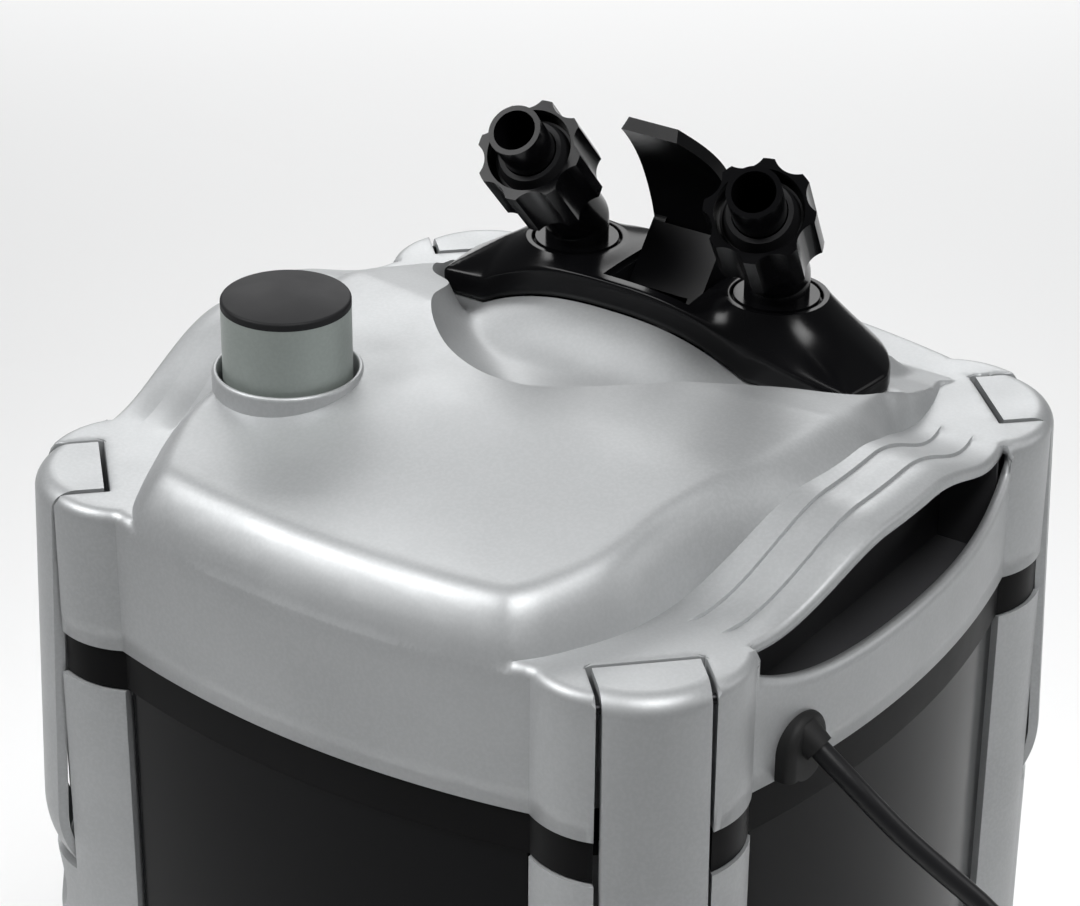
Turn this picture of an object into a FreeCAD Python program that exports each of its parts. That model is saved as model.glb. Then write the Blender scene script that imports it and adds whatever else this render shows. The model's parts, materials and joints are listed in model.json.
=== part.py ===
import FreeCAD, Part
import math
import os
from FreeCAD import Vector as V, Matrix, Placement, Rotation

os.makedirs("parts", exist_ok=True)

# ---------------------------------------------------------------- dimensions
# millimetres; origin on the floor at the middle of the base, +Z up,
# front face is -Y, cord side is +X
ZD = 370.0                 # height of the flat corners of the head (deck)
FACE_EDGE = 112.0          # plane of the face creases
FACE_HALF = 69.9           # half width of a face between its creases
FACE_BOW = 120.4           # bowed face at its middle
SIDE_MID = (80.5, 115.2)   # bulge of the strip between crease and latch
SIDE_END = (91.6, 113.4)   # end of that strip, at the latch gap
HEAD_H = 44.0              # silver wall below the deck
BAND_H = 13.0              # black band below it
WALL = 3.0                 # moulded wall
# latches (radial distances are along the corner diagonal)
POCKET_R = 129.0           # inner edge of the latch pocket in the deck
POCKET_HALF = 15.7
LATCH_HALF = 14.2
PIN_HALF = 17.4
LATCH_R = 149.5            # outer surface at the deck
LATCH_R_LOW = 153.0        # outer surface near the lower end
LATCH_LEN = 124.0
LATCH_T = 2.6
PIVOT_R = 142.0            # latch hinge
PIVOT_DZ = -5.0
HOOK_DZ = -20.0            # hook hinge
COL_POCKET_R = 131.0
# side rails
ARCH_H = 13.0
RAIL_OFF = 3.0             # rail edge inside the bowed face
# knob
KNOB = (-57.0, -51.0)
KNOB_R = 18.5
COLLAR_RO, COLLAR_RI = 21.6, 20.1
COLLAR_Z = 25.0
KNOB_TOP = 46.5
PRIMER_STROKE = 19.0
# hose adapter
TOWER_X, TOWER_Y, TOWER_Z = 35.5, 62.6, 30.0
ADP_Y0, ADP_Y1 = 43.0, 84.0
ELBOW_Z = 36.5             # bend point above the deck
ELBOW_TILT = 44.2          # nozzle axis from the vertical
ELBOW_AZ_L, ELBOW_AZ_R = 7.6, 19.7
NECK_R = 9.7
NOZZLE_R = 7.9
NOZZLE_END = 59.6          # from the bend point, along the nozzle axis
NUT_S0, NUT_S1 = 24.4, 46.4
NUT_R = 16.1
# lever
LEV_PIVOT = (58.0, 17.0)
# motor
MOT = (20.0, -35.0)
# cord
CORD_D = 6.0
COIL_R = (27.0, 33.0, 39.0)
COIL_C = (165.0, 60.0)
# cord gland
GY, GZ = -52.2, -36.3       # its arch, beside the front corner of the cord side

nodes = {}


def box(x0, y0, z0, x1, y1, z1):
    return Part.makeBox(x1 - x0, y1 - y0, z1 - z0, V(x0, y0, z0))


def cyl(r, z0, z1, x=0.0, y=0.0):
    return Part.makeCylinder(r, z1 - z0, V(x, y, z0))


def tube(ro, ri, z0, z1, x=0.0, y=0.0):
    return cyl(ro, z0, z1, x, y).cut(cyl(ri, z0 - 1, z1 + 1, x, y))


def poly(pts):
    vs = [V(*p) for p in pts]
    vs.append(vs[0])
    return Part.Face(Part.makePolygon(vs))


def prism(face, z0, z1):
    f = face.copy()
    f.translate(V(0, 0, z0))
    return f.extrude(V(0, 0, z1 - z0))


def one(shape):
    s = shape.removeSplitter()
    return s


def corner(shape, ang):
    s = shape.copy()
    s.rotate(V(0, 0, 0), V(0, 0, 1), ang)
    return s


def sstep(t):
    t = max(0.0, min(1.0, t))
    return t * t * (3 - 2 * t)


# ---------------------------------------------------------------- round bar along runs and arcs
def cord_path(pts):
    P = [V(*p) for p in pts]
    n = len(P)
    edges, radii, last, length = [], [], P[0], 0.0
    for i in range(1, n - 1):
        a, b, c = P[i - 1], P[i], P[i + 1]
        u, w_ = (b - a), (c - b)
        lu, lw_ = u.Length, w_.Length
        u.normalize()
        w_.normalize()
        turn = math.acos(max(-1, min(1, u.dot(w_))))
        t = 0.45 * min(lu, lw_)
        r = t / math.tan(turn / 2.0)
        radii.append(r)
        p0, p1 = b - u * t, b + w_ * t
        h = (w_ - u)
        h.normalize()
        mid = b + h * (r / math.cos(turn / 2.0) - r)
        if (p0 - last).Length > 1e-6:
            edges.append(Part.LineSegment(last, p0).toShape())
            length += (p0 - last).Length
        edges.append(Part.Arc(p0, mid, p1).toShape())
        length += r * turn
        last = p1
    edges.append(Part.LineSegment(last, P[-1]).toShape())
    length += (P[-1] - last).Length
    return Part.Wire(edges), radii, length


def cord_solid(pts, name, dia=CORD_D):
    wire, radii, length = cord_path(pts)
    d = V(*pts[1]) - V(*pts[0])
    d.normalize()
    prof = Part.Wire([Part.Circle(V(*pts[0]), d, dia / 2.0).toShape()])
    s = wire.makePipeShell([prof], True, False)
    if s.ShapeType != "Solid":
        s = Part.Solid(s) if s.ShapeType == "Shell" else s.Solids[0]
    area = math.pi * dia ** 2 / 4.0
    print(name, "length", round(length, 1), "volume/section*length", round(s.Volume / (area * length), 5),
          "radii", [round(r, 1) for r in radii], "valid", s.isValid())
    return s, length


# ---------------------------------------------------------------- plan outline
def outline(inset=0.0, cut_corner=None):
    """Square plan with four bowed faces, a crease at each end of a face and
    a rounded corner between two creases."""
    e, h, b = FACE_EDGE - inset, FACE_HALF - inset * 0.35, FACE_BOW - inset
    sm = (SIDE_MID[0] - inset * 0.5, SIDE_MID[1] - inset)
    se = (SIDE_END[0] - inset * 0.55, SIDE_END[1] - inset * 0.85)
    rc = LATCH_R - 0.6 - inset
    edges = []
    for k in range(4):
        a = math.radians(90 * k)
        ca, sa = math.cos(a), math.sin(a)

        def T(x, y):
            return V(x * ca - y * sa, x * sa + y * ca, 0)
        # face on +Y side turned by k, then the corner at its left end
        edges.append(Part.Arc(T(h, e), T(0, b), T(-h, e)).toShape())
        edges.append(Part.Arc(T(-h, e), T(-sm[0], sm[1]), T(-se[0], se[1])).toShape())
        m = rc / math.sqrt(2)
        edges.append(Part.Arc(T(-se[0], se[1]), T(-m, m), T(-se[1], se[0])).toShape())
        edges.append(Part.Arc(T(-se[1], se[0]), T(-sm[1], sm[0]), T(-e, h)).toShape())
    return Part.Face(Part.Wire(edges))


def canister_outline(inset):
    h, e, b = 68.5 - inset * 1.6, 110.5 - inset, 118.9 - inset
    edges = []
    for k in range(4):
        a = math.radians(90 * k)
        ca, sa = math.cos(a), math.sin(a)

        def T(x, y):
            return V(x * ca - y * sa, x * sa + y * ca, 0)
        q = 175.4 - inset * 1.5 - h
        edges.append(Part.Arc(T(h, e), T(0, b), T(-h, e)).toShape())
        edges.append(Part.LineSegment(T(-h, e), T(-h, q)).toShape())
        edges.append(Part.LineSegment(T(-h, q), T(-q, h)).toShape())
        edges.append(Part.LineSegment(T(-q, h), T(-e, h)).toShape())
    return Part.Face(Part.Wire(edges))


# ---------------------------------------------------------------- head surface
def arch(y):
    return ARCH_H * (1 - sstep((abs(y) - 12.0) / 53.0))


FOOT_R = [(60.0, -113.4), (66.5, -108.5), (71.8, -100.6), (78.3, -86.5), (81.2, -74.8),
          (83.2, -55.8), (87.2, -36.1), (90.6, -16.5), (92.6, 2.0), (92.0, 23.0), (89.3, 33.0),
          (85.6, 42.5), (83.2, 51.0), (82.7, 60.0), (82.5, 69.0), (80.2, 80.5), (76.8, 90.7), (74.5, 97.8)]
FOOT = [(x, y) for x, y in FOOT_R] + [(30.0, 100.0), (-30.0, 100.0)] + \
       [(-x, y) for x, y in reversed(FOOT_R)] + \
       [(-45.0, -116.4), (-22.0, -118.6), (0.0, -119.4), (22.0, -118.6), (45.0, -116.4)]
RIDGE = [(-60.0, 30.0), (-54.0, 14.0), (-43.0, -1.0), (-27.0, -15.0), (-10.0, -22.5),
         (5.0, -22.0), (18.0, -14.0), (31.0, -2.0), (46.0, 13.0), (60.0, 28.0), (70.0, 36.5),
         (76.0, 44.0), (78.0, 54.0), (78.8, 62.0), (78.5, 75.0), (76.5, 90.0), (74.0, 112.0),
         (-74.0, 112.0), (-76.5, 90.0), (-78.5, 75.0), (-79.0, 62.0), (-78.0, 48.0), (-71.0, 37.0)]
# height of the crest and width of the slope outside it, both against y
CREST = [(5.0, 25.2), (13.0, 23.6), (28.0, 20.2), (40.0, 17.1), (52.0, 14.0), (57.0, 12.5), (63.0, 10.0),
         (68.0, 8.0), (75.0, 6.0), (84.0, 3.0), (98.0, 0.0)]
SLOPE = [(20.0, 12.5), (29.0, 11.2), (41.0, 7.0), (52.0, 6.0), (57.0, 4.4), (63.0, 3.8), (68.0, 2.9),
         (75.0, 2.2), (84.0, 1.2), (98.0, 1.0)]


def table(tab, v):
    """Straight-line value between the rows of a table."""
    if v <= tab[0][0]:
        return tab[0][1]
    for (a, p), (b, q) in zip(tab, tab[1:]):
        if v <= b:
            return p + (q - p) * (v - a) / (b - a)
    return tab[-1][1]


def sdist(px, py, pg):
    """Signed distance to a closed polygon, positive inside."""
    best = 1e9
    inside = False
    n = len(pg)
    for i in range(n):
        x0, y0 = pg[i]
        x1, y1 = pg[(i + 1) % n]
        dx, dy = x1 - x0, y1 - y0
        t = ((px - x0) * dx + (py - y0) * dy) / (dx * dx + dy * dy)
        t = max(0.0, min(1.0, t))
        d = math.hypot(px - x0 - t * dx, py - y0 - t * dy)
        if d < best:
            best = d
        if (y0 > py) != (y1 > py):
            if px < x0 + (py - y0) * dx / dy:
                inside = not inside
    return best if inside else -best


def face_x(y):
    """x of the bowed side face at y."""
    r = (FACE_HALF ** 2 + (FACE_BOW - FACE_EDGE) ** 2) / (2 * (FACE_BOW - FACE_EDGE))
    yy = min(abs(y), FACE_HALF + 4)
    return FACE_BOW - r + math.sqrt(r * r - yy * yy)


def deck_z(x, y):
    off = face_x(y) - abs(x)
    a = arch(y)
    up = 3.0 * sstep((off - 3.0) / 9.5) + 1.0 * sstep((off - 13.0) / 10.0)
    return a * (1.0 + up / ARCH_H)


def crown_z(x, y):
    z = 14.5 + 10.8 * sstep((y + 112.0) / 87.0) * (1 - 0.16 * (x / 80.0) ** 2)
    return min(z, table(CREST, y)) if y > 5.0 else z


AC = -10.0                  # middle of the raised front edge of the hose adapter


def adp_low(x):
    """Lower edge of the adapter's arched front."""
    d = abs(x - AC) / 47.0
    return 9.4 + (10.4 * (1 - d ** 2.5) if d < 1 else 0.0)


def floor_z(x, y):
    """Recess floor, rising in front of the adapter to meet its arch."""
    z = 8.6 + max(0.0, adp_low(x) - 1.1 - 8.6) * sstep((y - 14.0) / 27.0) * (1 - sstep((y - 42.5) / 3.0))
    z = z * (1 - sstep((y - 84.0) / 14.0))
    return z + (min(z, crown_z(x, y)) - z) * sstep((abs(x) - 60.0) / 8.0)


def head_z(x, y):
    d = sdist(x, y, FOOT)
    dz = deck_z(x, y)
    if d <= 0:
        z = dz
    else:
        t = min(1.0, d / table(SLOPE, y))
        z = dz + (crown_z(x, y) - dz) * (1 - (1 - t) ** 2)
        r = sdist(x, y, RIDGE)
        if r > 0:
            wide = 22.0 - 19.0 * sstep((y - 12.0) / 30.0)
            q = 1 - (1 - min(1.0, r / wide)) ** 2
            z = z + (floor_z(x, y) - z) * q
    return z


GRID = 3.0
NG = 89


def height_face(fn, n=NG, step=GRID, cx=0.0, cy=0.0, ny=None):
    ny = ny or n
    x0, y0 = cx - step * (n - 1) / 2.0, cy - step * (ny - 1) / 2.0
    g = [[V(x0 + step * i, y0 + step * j, fn(x0 + step * i, y0 + step * j))
          for j in range(ny)] for i in range(n)]
    s = Part.BSplineSurface()
    s.interpolate(g)
    return s.toShape()


hf = height_face(lambda x, y: ZD + head_z(x, y))
above = hf.extrude(V(0, 0, 160))
hf_low = hf.copy()
hf_low.translate(V(0, 0, -WALL))
above_low = hf_low.extrude(V(0, 0, 160))

CORNERS = [("front_right", -45.0), ("rear_right", 45.0), ("rear_left", 135.0), ("front_left", 225.0)]

# ---------------------------------------------------------------- head cover
head = prism(outline(), ZD - HEAD_H, ZD + 40).cut(above)
inner = prism(outline(WALL), ZD - HEAD_H - 1, ZD + 40)
for nm, a in CORNERS:
    inner = inner.cut(corner(box(POCKET_R - WALL, -POCKET_HALF - WALL, ZD - 80, 170, POCKET_HALF + WALL, ZD + 60), a))
inner = inner.cut(above_low)
head = head.cut(inner)
for nm, a in CORNERS:
    head = head.cut(corner(box(POCKET_R, -POCKET_HALF, ZD - 80, 170, POCKET_HALF, ZD + 60), a))
    # holes for the latch hinge pin in both cheeks
    pin = Part.makeCylinder(1.55, 2 * PIN_HALF + 0.4, V(PIVOT_R, -PIN_HALF - 0.2, ZD + PIVOT_DZ), V(0, 1, 0))
    head = head.cut(corner(pin, a))


def lens(top_fn, x0, x1, n=28, half=70.5):
    """Hand opening: closed outline in the Y-Z plane, extruded along X."""
    pts = []
    for i in range(n + 1):
        y = -half + 2 * half * i / n
        pts.append((x0, y, ZD - 18.4 + 9.5 * (abs(y) / half) ** 4))
    for i in range(n + 1):
        y = half - 2 * half * i / n
        pts.append((x0, y, ZD + top_fn(y)))
    return poly(pts).extrude(V(x1 - x0, 0, 0))


plan_out = prism(outline(RAIL_OFF), ZD - 60, ZD + 60)
cut_outer = lens(lambda y: arch(y) + 30, 100, 130, half=69.0).cut(plan_out)
cut_under = lens(lambda y: arch(y) - WALL - 0.2, 90, 130, half=67.0)
for s in (0, 180):
    head = head.cut(corner(cut_outer, s)).cut(corner(cut_under, s))
# bore and collar of the priming knob
head = head.cut(cyl(COLLAR_RI, ZD - 20, ZD + 60, *KNOB))
ring = tube(COLLAR_RO, COLLAR_RI, ZD + 8, ZD + COLLAR_Z, *KNOB)
head = head.fuse(ring)
# ports under the hose adapter
for sx in (-1, 1):
    head = head.cut(cyl(12.2, ZD - 10, ZD + 60, sx * TOWER_X, TOWER_Y))
# hole for the cord gland
head = head.cut(Part.makeCylinder(5.1, 20, V(106, GY, ZD - 37.6), V(1, 0, 0)))
head = head.cut(box(106, GY - 5.1, ZD - HEAD_H - 1, 126, GY + 5.1, ZD - 37.6))
nodes["head_cover"] = one(head)

# ---------------------------------------------------------------- hand recess liners
LIN_X0, LIN_ZF = 90.0, -36.0
lo = box(LIN_X0, -67.5, ZD + LIN_ZF, 130, 67.5, ZD + 30).common(prism(outline(WALL + 0.25), ZD - 60, ZD + 60))
li = box(LIN_X0 + 2, -65.5, ZD + LIN_ZF + 2, 140, 65.5, ZD + 40)
liner_low = hf.copy()
liner_low.translate(V(0, 0, -WALL - 0.25))
liner_top = liner_low.extrude(V(0, 0, 160))
for nm, a in (("right", 0), ("left", 180)):
    nodes["handle_liner_" + nm] = one(corner(lo.cut(li), a).cut(liner_top))

# ---------------------------------------------------------------- head base (black band)
Z1, Z0 = ZD - HEAD_H, ZD - HEAD_H - BAND_H
base = prism(outline(0.9), Z0, Z1)
base = base.cut(prism(outline(4.5), Z0 - 1, Z0 + 7))
sp = prism(canister_outline(3.6), Z0 - 15, Z0 + 7.5).cut(prism(canister_outline(6.6), Z0 - 20, Z0 + 7))
sp = sp.cut(prism(canister_outline(2), Z0 - 11, Z0 - 6).cut(prism(canister_outline(5.2), Z0 - 12, Z0 - 5)))
base = base.fuse(sp)
for nm, a in CORNERS:
    base = base.cut(corner(box(POCKET_R, -POCKET_HALF, Z0 - 5, 170, POCKET_HALF, Z1 + 5), a))
base = base.cut(cyl(13.6, Z0, Z1 + 5, *MOT))
for sx in (-1, 1):
    base = base.cut(cyl(9.0, Z0, Z1 + 5, sx * TOWER_X, TOWER_Y))
base = base.cut(cyl(3.0, Z0, Z1 + 5, *KNOB))
SCREWS = [(-9.0, -63.0), (49.0, -63.0), (-9.0, -7.0), (51.0, -7.0)]
for x, y in SCREWS:
    base = base.cut(cyl(2.1, Z0, Z1 + 5, x, y))
nodes["head_base"] = one(base)

# rim seal in the groove of the spigot
nodes["rim_seal"] = prism(canister_outline(3.0), Z0 - 10.6, Z0 - 6.4).cut(prism(canister_outline(5.2), Z0 - 12, Z0 - 5))

# ---------------------------------------------------------------- canister body
CAN_Z0 = 16.0
can = prism(canister_outline(0), CAN_Z0, Z0)
can = can.cut(prism(canister_outline(3.0), CAN_Z0 + 3, Z0 + 5))
nodes["canister_body"] = can

# ---------------------------------------------------------------- corner columns
m = 150.3 / math.sqrt(2)
c_edges = [
    Part.Arc(V(FACE_HALF, FACE_EDGE, 0), V(SIDE_MID[0], SIDE_MID[1], 0), V(91.4, 114.0, 0)).toShape(),
    Part.Arc(V(91.4, 114.0, 0), V(m, m, 0), V(114.0, 91.4, 0)).toShape(),
    Part.Arc(V(114.0, 91.4, 0), V(SIDE_MID[1], SIDE_MID[0], 0), V(FACE_EDGE, FACE_HALF, 0)).toShape(),
    Part.LineSegment(V(FACE_EDGE, FACE_HALF, 0), V(107.1, FACE_HALF, 0)).toShape(),
    Part.LineSegment(V(107.1, FACE_HALF, 0), V(107.1, 68.75, 0)).toShape(),
    Part.LineSegment(V(107.1, 68.75, 0), V(68.75, 107.1, 0)).toShape(),
    Part.LineSegment(V(68.75, 107.1, 0), V(FACE_HALF, 107.1, 0)).toShape(),
    Part.LineSegment(V(FACE_HALF, 107.1, 0), V(FACE_HALF, FACE_EDGE, 0)).toShape()]
colf = Part.Face(Part.Wire(Part.sortEdges(c_edges)[0]))
col = prism(colf, 16, Z0 - 0.4)
col = corner(col, -45)                       # diagonal along local X
LOW = ZD - LATCH_LEN - 2.0
col = col.cut(box(COL_POCKET_R, -POCKET_HALF, LOW, 170, POCKET_HALF, ZD))
# finger scoop below the latch
scoop = Part.makeSphere(15.0, V(160.5, 0, ZD - 137))
col = col.cut(scoop)
# catch lug that the hook pulls on
LUG_Z = ZD - 65.8
lug = box(COL_POCKET_R - 1, -8, LUG_Z, 139.3, 8, LUG_Z + 5.5)
col = col.fuse(lug)
for nm, a in CORNERS:
    nodes["corner_column_" + nm] = one(corner(col, a))

# ---------------------------------------------------------------- base and feet
bs = prism(outline(1.5), 4, 16)
bs = bs.cut(prism(outline(5.5), 3, 12.5))
ft = None
for sx in (-1, 1):
    for sy in (-1, 1):
        bs = bs.fuse(cyl(14, 6, 13, sx * 82, sy * 82))
        f = cyl(11, 0, 6, sx * 82, sy * 82).fuse(cyl(4, 5, 10, sx * 82, sy * 82))
        bs = bs.cut(cyl(4, 5, 10, sx * 82, sy * 82))
        ft = f if ft is None else Part.makeCompound([*ft.Solids, f]) if ft.ShapeType == "Compound" else Part.makeCompound([ft, f])
nodes["base_tray"] = one(bs)
nodes["rubber_feet"] = ft

# ---------------------------------------------------------------- latches
# section in (r, z); turned about a vertical axis so that the outside is convex
AX = LATCH_R - 27.7


def rz(r, z):
    return V(r - AX, 0, z)


r0, r1 = LATCH_R, LATCH_R_LOW
zt, zb = ZD, ZD - LATCH_LEN
c45 = math.sqrt(0.5)
sec = [
    Part.LineSegment(rz(129.5, zt), rz(r0 - 6, zt)).toShape(),
    Part.Arc(rz(r0 - 6, zt), rz(r0 - 6 + 6 * c45, zt - 6 + 6 * c45), rz(r0, zt - 6)).toShape(),
    Part.LineSegment(rz(r0, zt - 6), rz(r1, zb + 17)).toShape(),
    Part.Arc(rz(r1, zb + 17), rz(r1 - 1.0, zb + 8), rz(r1 - 4.2, zb)).toShape(),
    Part.LineSegment(rz(r1 - 4.2, zb), rz(r1 - 6.6, zb)).toShape(),
    Part.Arc(rz(r1 - 6.6, zb), rz(r1 - 3.5, zb + 8), rz(r1 - LATCH_T, zb + 17)).toShape(),
    Part.LineSegment(rz(r1 - LATCH_T, zb + 17), rz(r0 - LATCH_T, zt - 6)).toShape(),
    Part.Arc(rz(r0 - LATCH_T, zt - 6), rz(r0 - 6 + 3.4 * c45, zt - 6 + 3.4 * c45), rz(r0 - 6, zt - LATCH_T)).toShape(),
    Part.LineSegment(rz(r0 - 6, zt - LATCH_T), rz(129.5, zt - LATCH_T)).toShape(),
    Part.LineSegment(rz(129.5, zt - LATCH_T), rz(129.5, zt)).toShape()]
lw = Part.Face(Part.Wire(Part.sortEdges(sec)[0]))
lat = lw.revolve(V(0, 0, 0), V(0, 0, 1), 180)
lat.rotate(V(0, 0, 0), V(0, 0, 1), -90)
lat.translate(V(AX, 0, 0))
lat = lat.common(box(130.6, -LATCH_HALF, zb - 1, 160, LATCH_HALF, zt + 1))
ears = None
for s in (-1, 1):
    y0, y1 = (11.4, 13.8) if s > 0 else (-13.8, -11.4)
    e = box(PIVOT_R - 3.6, y0, ZD - 25, r0 - 1.2, y1, ZD - 1.2)
    e = e.common(Part.makeCylinder(13.5, 60, V(PIVOT_R + 3, -30, ZD - 13), V(0, 1, 0)))
    ears = e if ears is None else ears.fuse(e)
# trim the ears to the inner side of the latch wall
rim = [rz(126, zt - 0.5), rz(r0 - 6.5, zt - 0.5), rz(r0 - 1.0, zt - 6.5), rz(r0 - 0.6, zt - 26), rz(126, zt - 26)]
trim = Part.Face(Part.makePolygon(rim + [rim[0]])).revolve(V(0, 0, 0), V(0, 0, 1), 180)
trim.rotate(V(0, 0, 0), V(0, 0, 1), -90)
trim.translate(V(AX, 0, 0))
ears = ears.common(trim)
lat = lat.fuse(ears)
lat = lat.cut(Part.makeCylinder(1.55, 40, V(PIVOT_R, -20, ZD + PIVOT_DZ), V(0, 1, 0)))
# cross pin for the hook, moulded between the ears
lat = lat.fuse(Part.makeCylinder(1.25, 25.0, V(PIVOT_R, -12.5, ZD + HOOK_DZ), V(0, 1, 0)))
lat = one(lat)
# hook: eye, shank and toe
hk = Part.makeCylinder(3.1, 18, V(PIVOT_R, -9, ZD + HOOK_DZ), V(0, 1, 0))
hk = hk.fuse(box(PIVOT_R - 1.5, -9, ZD - 70, PIVOT_R + 1.5, 9, ZD + HOOK_DZ))
hk = hk.fuse(box(136.0, -9, ZD - 70, PIVOT_R + 1.5, 9, ZD - 66.6))
hk = hk.cut(Part.makeCylinder(1.3, 30, V(PIVOT_R, -15, ZD + HOOK_DZ), V(0, 1, 0)))
hk = one(hk)
pv = Part.makeCylinder(1.5, 2 * PIN_HALF, V(PIVOT_R, -PIN_HALF, ZD + PIVOT_DZ), V(0, 1, 0))
pins = []
for nm, a in CORNERS:
    nodes["latch_" + nm] = corner(lat, a)
    nodes["latch_hook_" + nm] = corner(hk, a)
    pins.append(corner(pv, a))
nodes["latch_hinge_pins"] = Part.makeCompound(pins)

# ---------------------------------------------------------------- primer
kx, ky = KNOB
# barrel
bar = tube(16.8, 14.5, Z1, ZD + 12, kx, ky)
nodes["primer_barrel"] = bar
sl = tube(KNOB_R, 17.2, ZD + 4, ZD + 42.0, kx, ky)
sl = sl.fuse(tube(KNOB_R, 9.0, ZD + 42.0, ZD + 44.3, kx, ky))
nodes["primer_sleeve"] = one(sl)
rc_ = 90.0
cap_b = cyl(KNOB_R, ZD + 44.3, ZD + 60, kx, ky)
dome = Part.makeSphere(rc_, V(kx, ky, ZD + 48.4 - rc_))
cap = cap_b.common(dome)
ed = [e for e in cap.Edges if e.BoundBox.ZLength < 0.01 and e.BoundBox.ZMin > ZD + 45.0]
cap = cap.makeFillet(0.9, ed[:1])
cap = cap.fuse(cyl(8.9, ZD + 38, ZD + 44.4, kx, ky))
nodes["primer_cap"] = one(cap)
rod = cyl(3.0, ZD - 2, ZD + 38, kx, ky).fuse(cyl(14.2, ZD - 8, ZD - 1, kx, ky))
rod = rod.cut(Part.makeTorus(13.35, 1.15, V(kx, ky, ZD - 4.5)))
nodes["primer_piston"] = one(rod)
nodes["piston_ring"] = Part.makeTorus(13.3, 1.1, V(kx, ky, ZD - 4.5))
# return spring, six turns
SPRING_R, SPRING_N = 9.5, 60
sp_pts = []
for i in range(SPRING_N + 1):
    a = 2 * math.pi * i / 10.0
    sp_pts.append((kx + SPRING_R * math.cos(a), ky + SPRING_R * math.sin(a), Z1 + 0.9 + 34.1 * i / SPRING_N))
nodes["primer_spring"], l_spring = cord_solid(sp_pts, "primer_spring", 1.4)

# ---------------------------------------------------------------- motor and pump
mx, my = MOT
case_o = box(mx - 32, my - 31, Z1, mx + 32, my + 35, ZD + 5)
case_i = box(mx - 29.5, my - 28.5, Z1 + 2.5, mx + 29.5, my + 32.5, ZD + 2.5)
case = case_o.cut(case_i)
well = cyl(15.0, Z1, ZD - 7, mx, my)
case = case.fuse(well).cut(cyl(13.6, Z1 - 1, ZD - 9.5, mx, my))
for x, y in SCREWS:
    case = case.fuse(cyl(4.0, Z1, Z1 + 14, x, y)).cut(cyl(1.5, Z1 - 1, Z1 + 11, x, y))
nodes["motor_case"] = one(case)
zc0, zc1 = ZD - 33.0, ZD - 17.0
core = box(mx - 25, my - 12, zc0, mx + 25, my + 29, zc1)
core = core.cut(box(mx - 17.5, my - 13, zc0 - 1, mx + 17.5, my + 21, zc1 + 1))
core = core.fuse(box(mx - 25, my - 12, zc0, mx - 8, my + 12, zc1)).fuse(box(mx + 8, my - 12, zc0, mx + 25, my + 12, zc1))
core = core.cut(cyl(15.3, zc0 - 1, zc1 + 1, mx, my))
core = core.common(box(mx - 25, my - 12, zc0 - 1, mx + 25, my + 29, zc1 + 1))
nodes["stator_core"] = one(core)
coil = box(mx - 14, my + 17.2, ZD - 38.5, mx + 14, my + 32.2, ZD - 11.5)
coil = coil.cut(box(mx - 15, my + 20.7, zc0 - 0.3, mx + 15, my + 29.3, zc1 + 0.3))
nodes["stator_coil"] = one(coil)
# volute below the plate with the duct to the outlet port
zv1 = Z0 + 7.0
vol = cyl(30, zv1 - 27, zv1, mx, my).fuse(box(25, my, zv1 - 24, 46, 76, zv1))
vol = vol.cut(cyl(27.6, zv1 - 24.5, zv1 - 2.0, mx, my)).cut(box(27, my, zv1 - 22, 44, 74, zv1 - 2.0))
vol = vol.cut(cyl(15.2, zv1 - 3, zv1 + 1, mx, my))
vol = vol.cut(cyl(8.0, zv1 - 3, zv1 + 1, TOWER_X, TOWER_Y))
for i in range(6):
    a = math.radians(60 * i)
    vol = vol.cut(cyl(3.6, zv1 - 28, zv1 - 24, mx + 9.5 * math.cos(a), my + 9.5 * math.sin(a)))
nodes["pump_volute"] = one(vol)
# shaft and bushes
sh0, sh1 = zv1 - 24.5, ZD - 9.5
nodes["ceramic_shaft"] = cyl(2.0, sh0 + 1.0, sh1 - 1.0, mx, my)
bush = tube(4.2, 2.0, sh0, sh0 + 3.5, mx, my)
bush = bush.fuse(cyl(4.2, sh0, sh0 + 1.0, mx, my))
bt = tube(4.2, 2.0, sh1 - 3.5, sh1, mx, my).fuse(cyl(4.2, sh1 - 1.0, sh1, mx, my))
nodes["shaft_bushes"] = Part.makeCompound([one(bush), one(bt)])
nodes["rotor_magnet"] = tube(11.6, 4.6, Z0 + 6, sh1 - 4.5, mx, my)
imp = tube(4.6, 2.06, zv1 - 20, sh1 - 4.5, mx, my).fuse(tube(22, 2.06, Z0 + 2.2, Z0 + 4.2, mx, my))
imp = imp.fuse(tube(12.5, 2.06, Z0 + 4.2, Z0 + 6, mx, my))
for i in range(6):
    bl = box(3.8, -1.0, zv1 - 20, 22, 1.0, Z0 + 2.4)
    bl.rotate(V(0, 0, 0), V(0, 0, 1), 60 * i + 15)
    bl.translate(V(mx, my, 0))
    imp = imp.fuse(bl)
imp = imp.cut(cyl(2.06, 0, 500, mx, my))
nodes["impeller"] = one(imp)
scr = []
for x, y in SCREWS:
    s = cyl(3.6, Z0 + 4.2, Z0 + 7.0, x, y).fuse(cyl(1.45, Z0 + 6, Z1 + 10, x, y))
    s = s.cut(box(x - 3, y - 0.5, Z0 + 3, x + 3, y + 0.5, Z0 + 5.2)).cut(box(x - 0.5, y - 3, Z0 + 3, x + 0.5, y + 3, Z0 + 5.2))
    scr.append(one(s))
nodes["motor_screws"] = Part.makeCompound(scr)

# ---------------------------------------------------------------- adapter sockets in the head
so = None
for sx in (-1, 1):
    x = sx * TOWER_X
    t = tube(14.0, 11.5, Z1, ZD + 5.0, x, TOWER_Y).cut(cyl(9.0, Z1 - 1, Z1 + 1, x, TOWER_Y))
    t = t.fuse(tube(12.0, 9.0, Z1, Z1 + 4, x, TOWER_Y))
    so = [one(t)] if so is None else so + [one(t)]
nodes["hose_sockets"] = Part.makeCompound(so)

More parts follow.
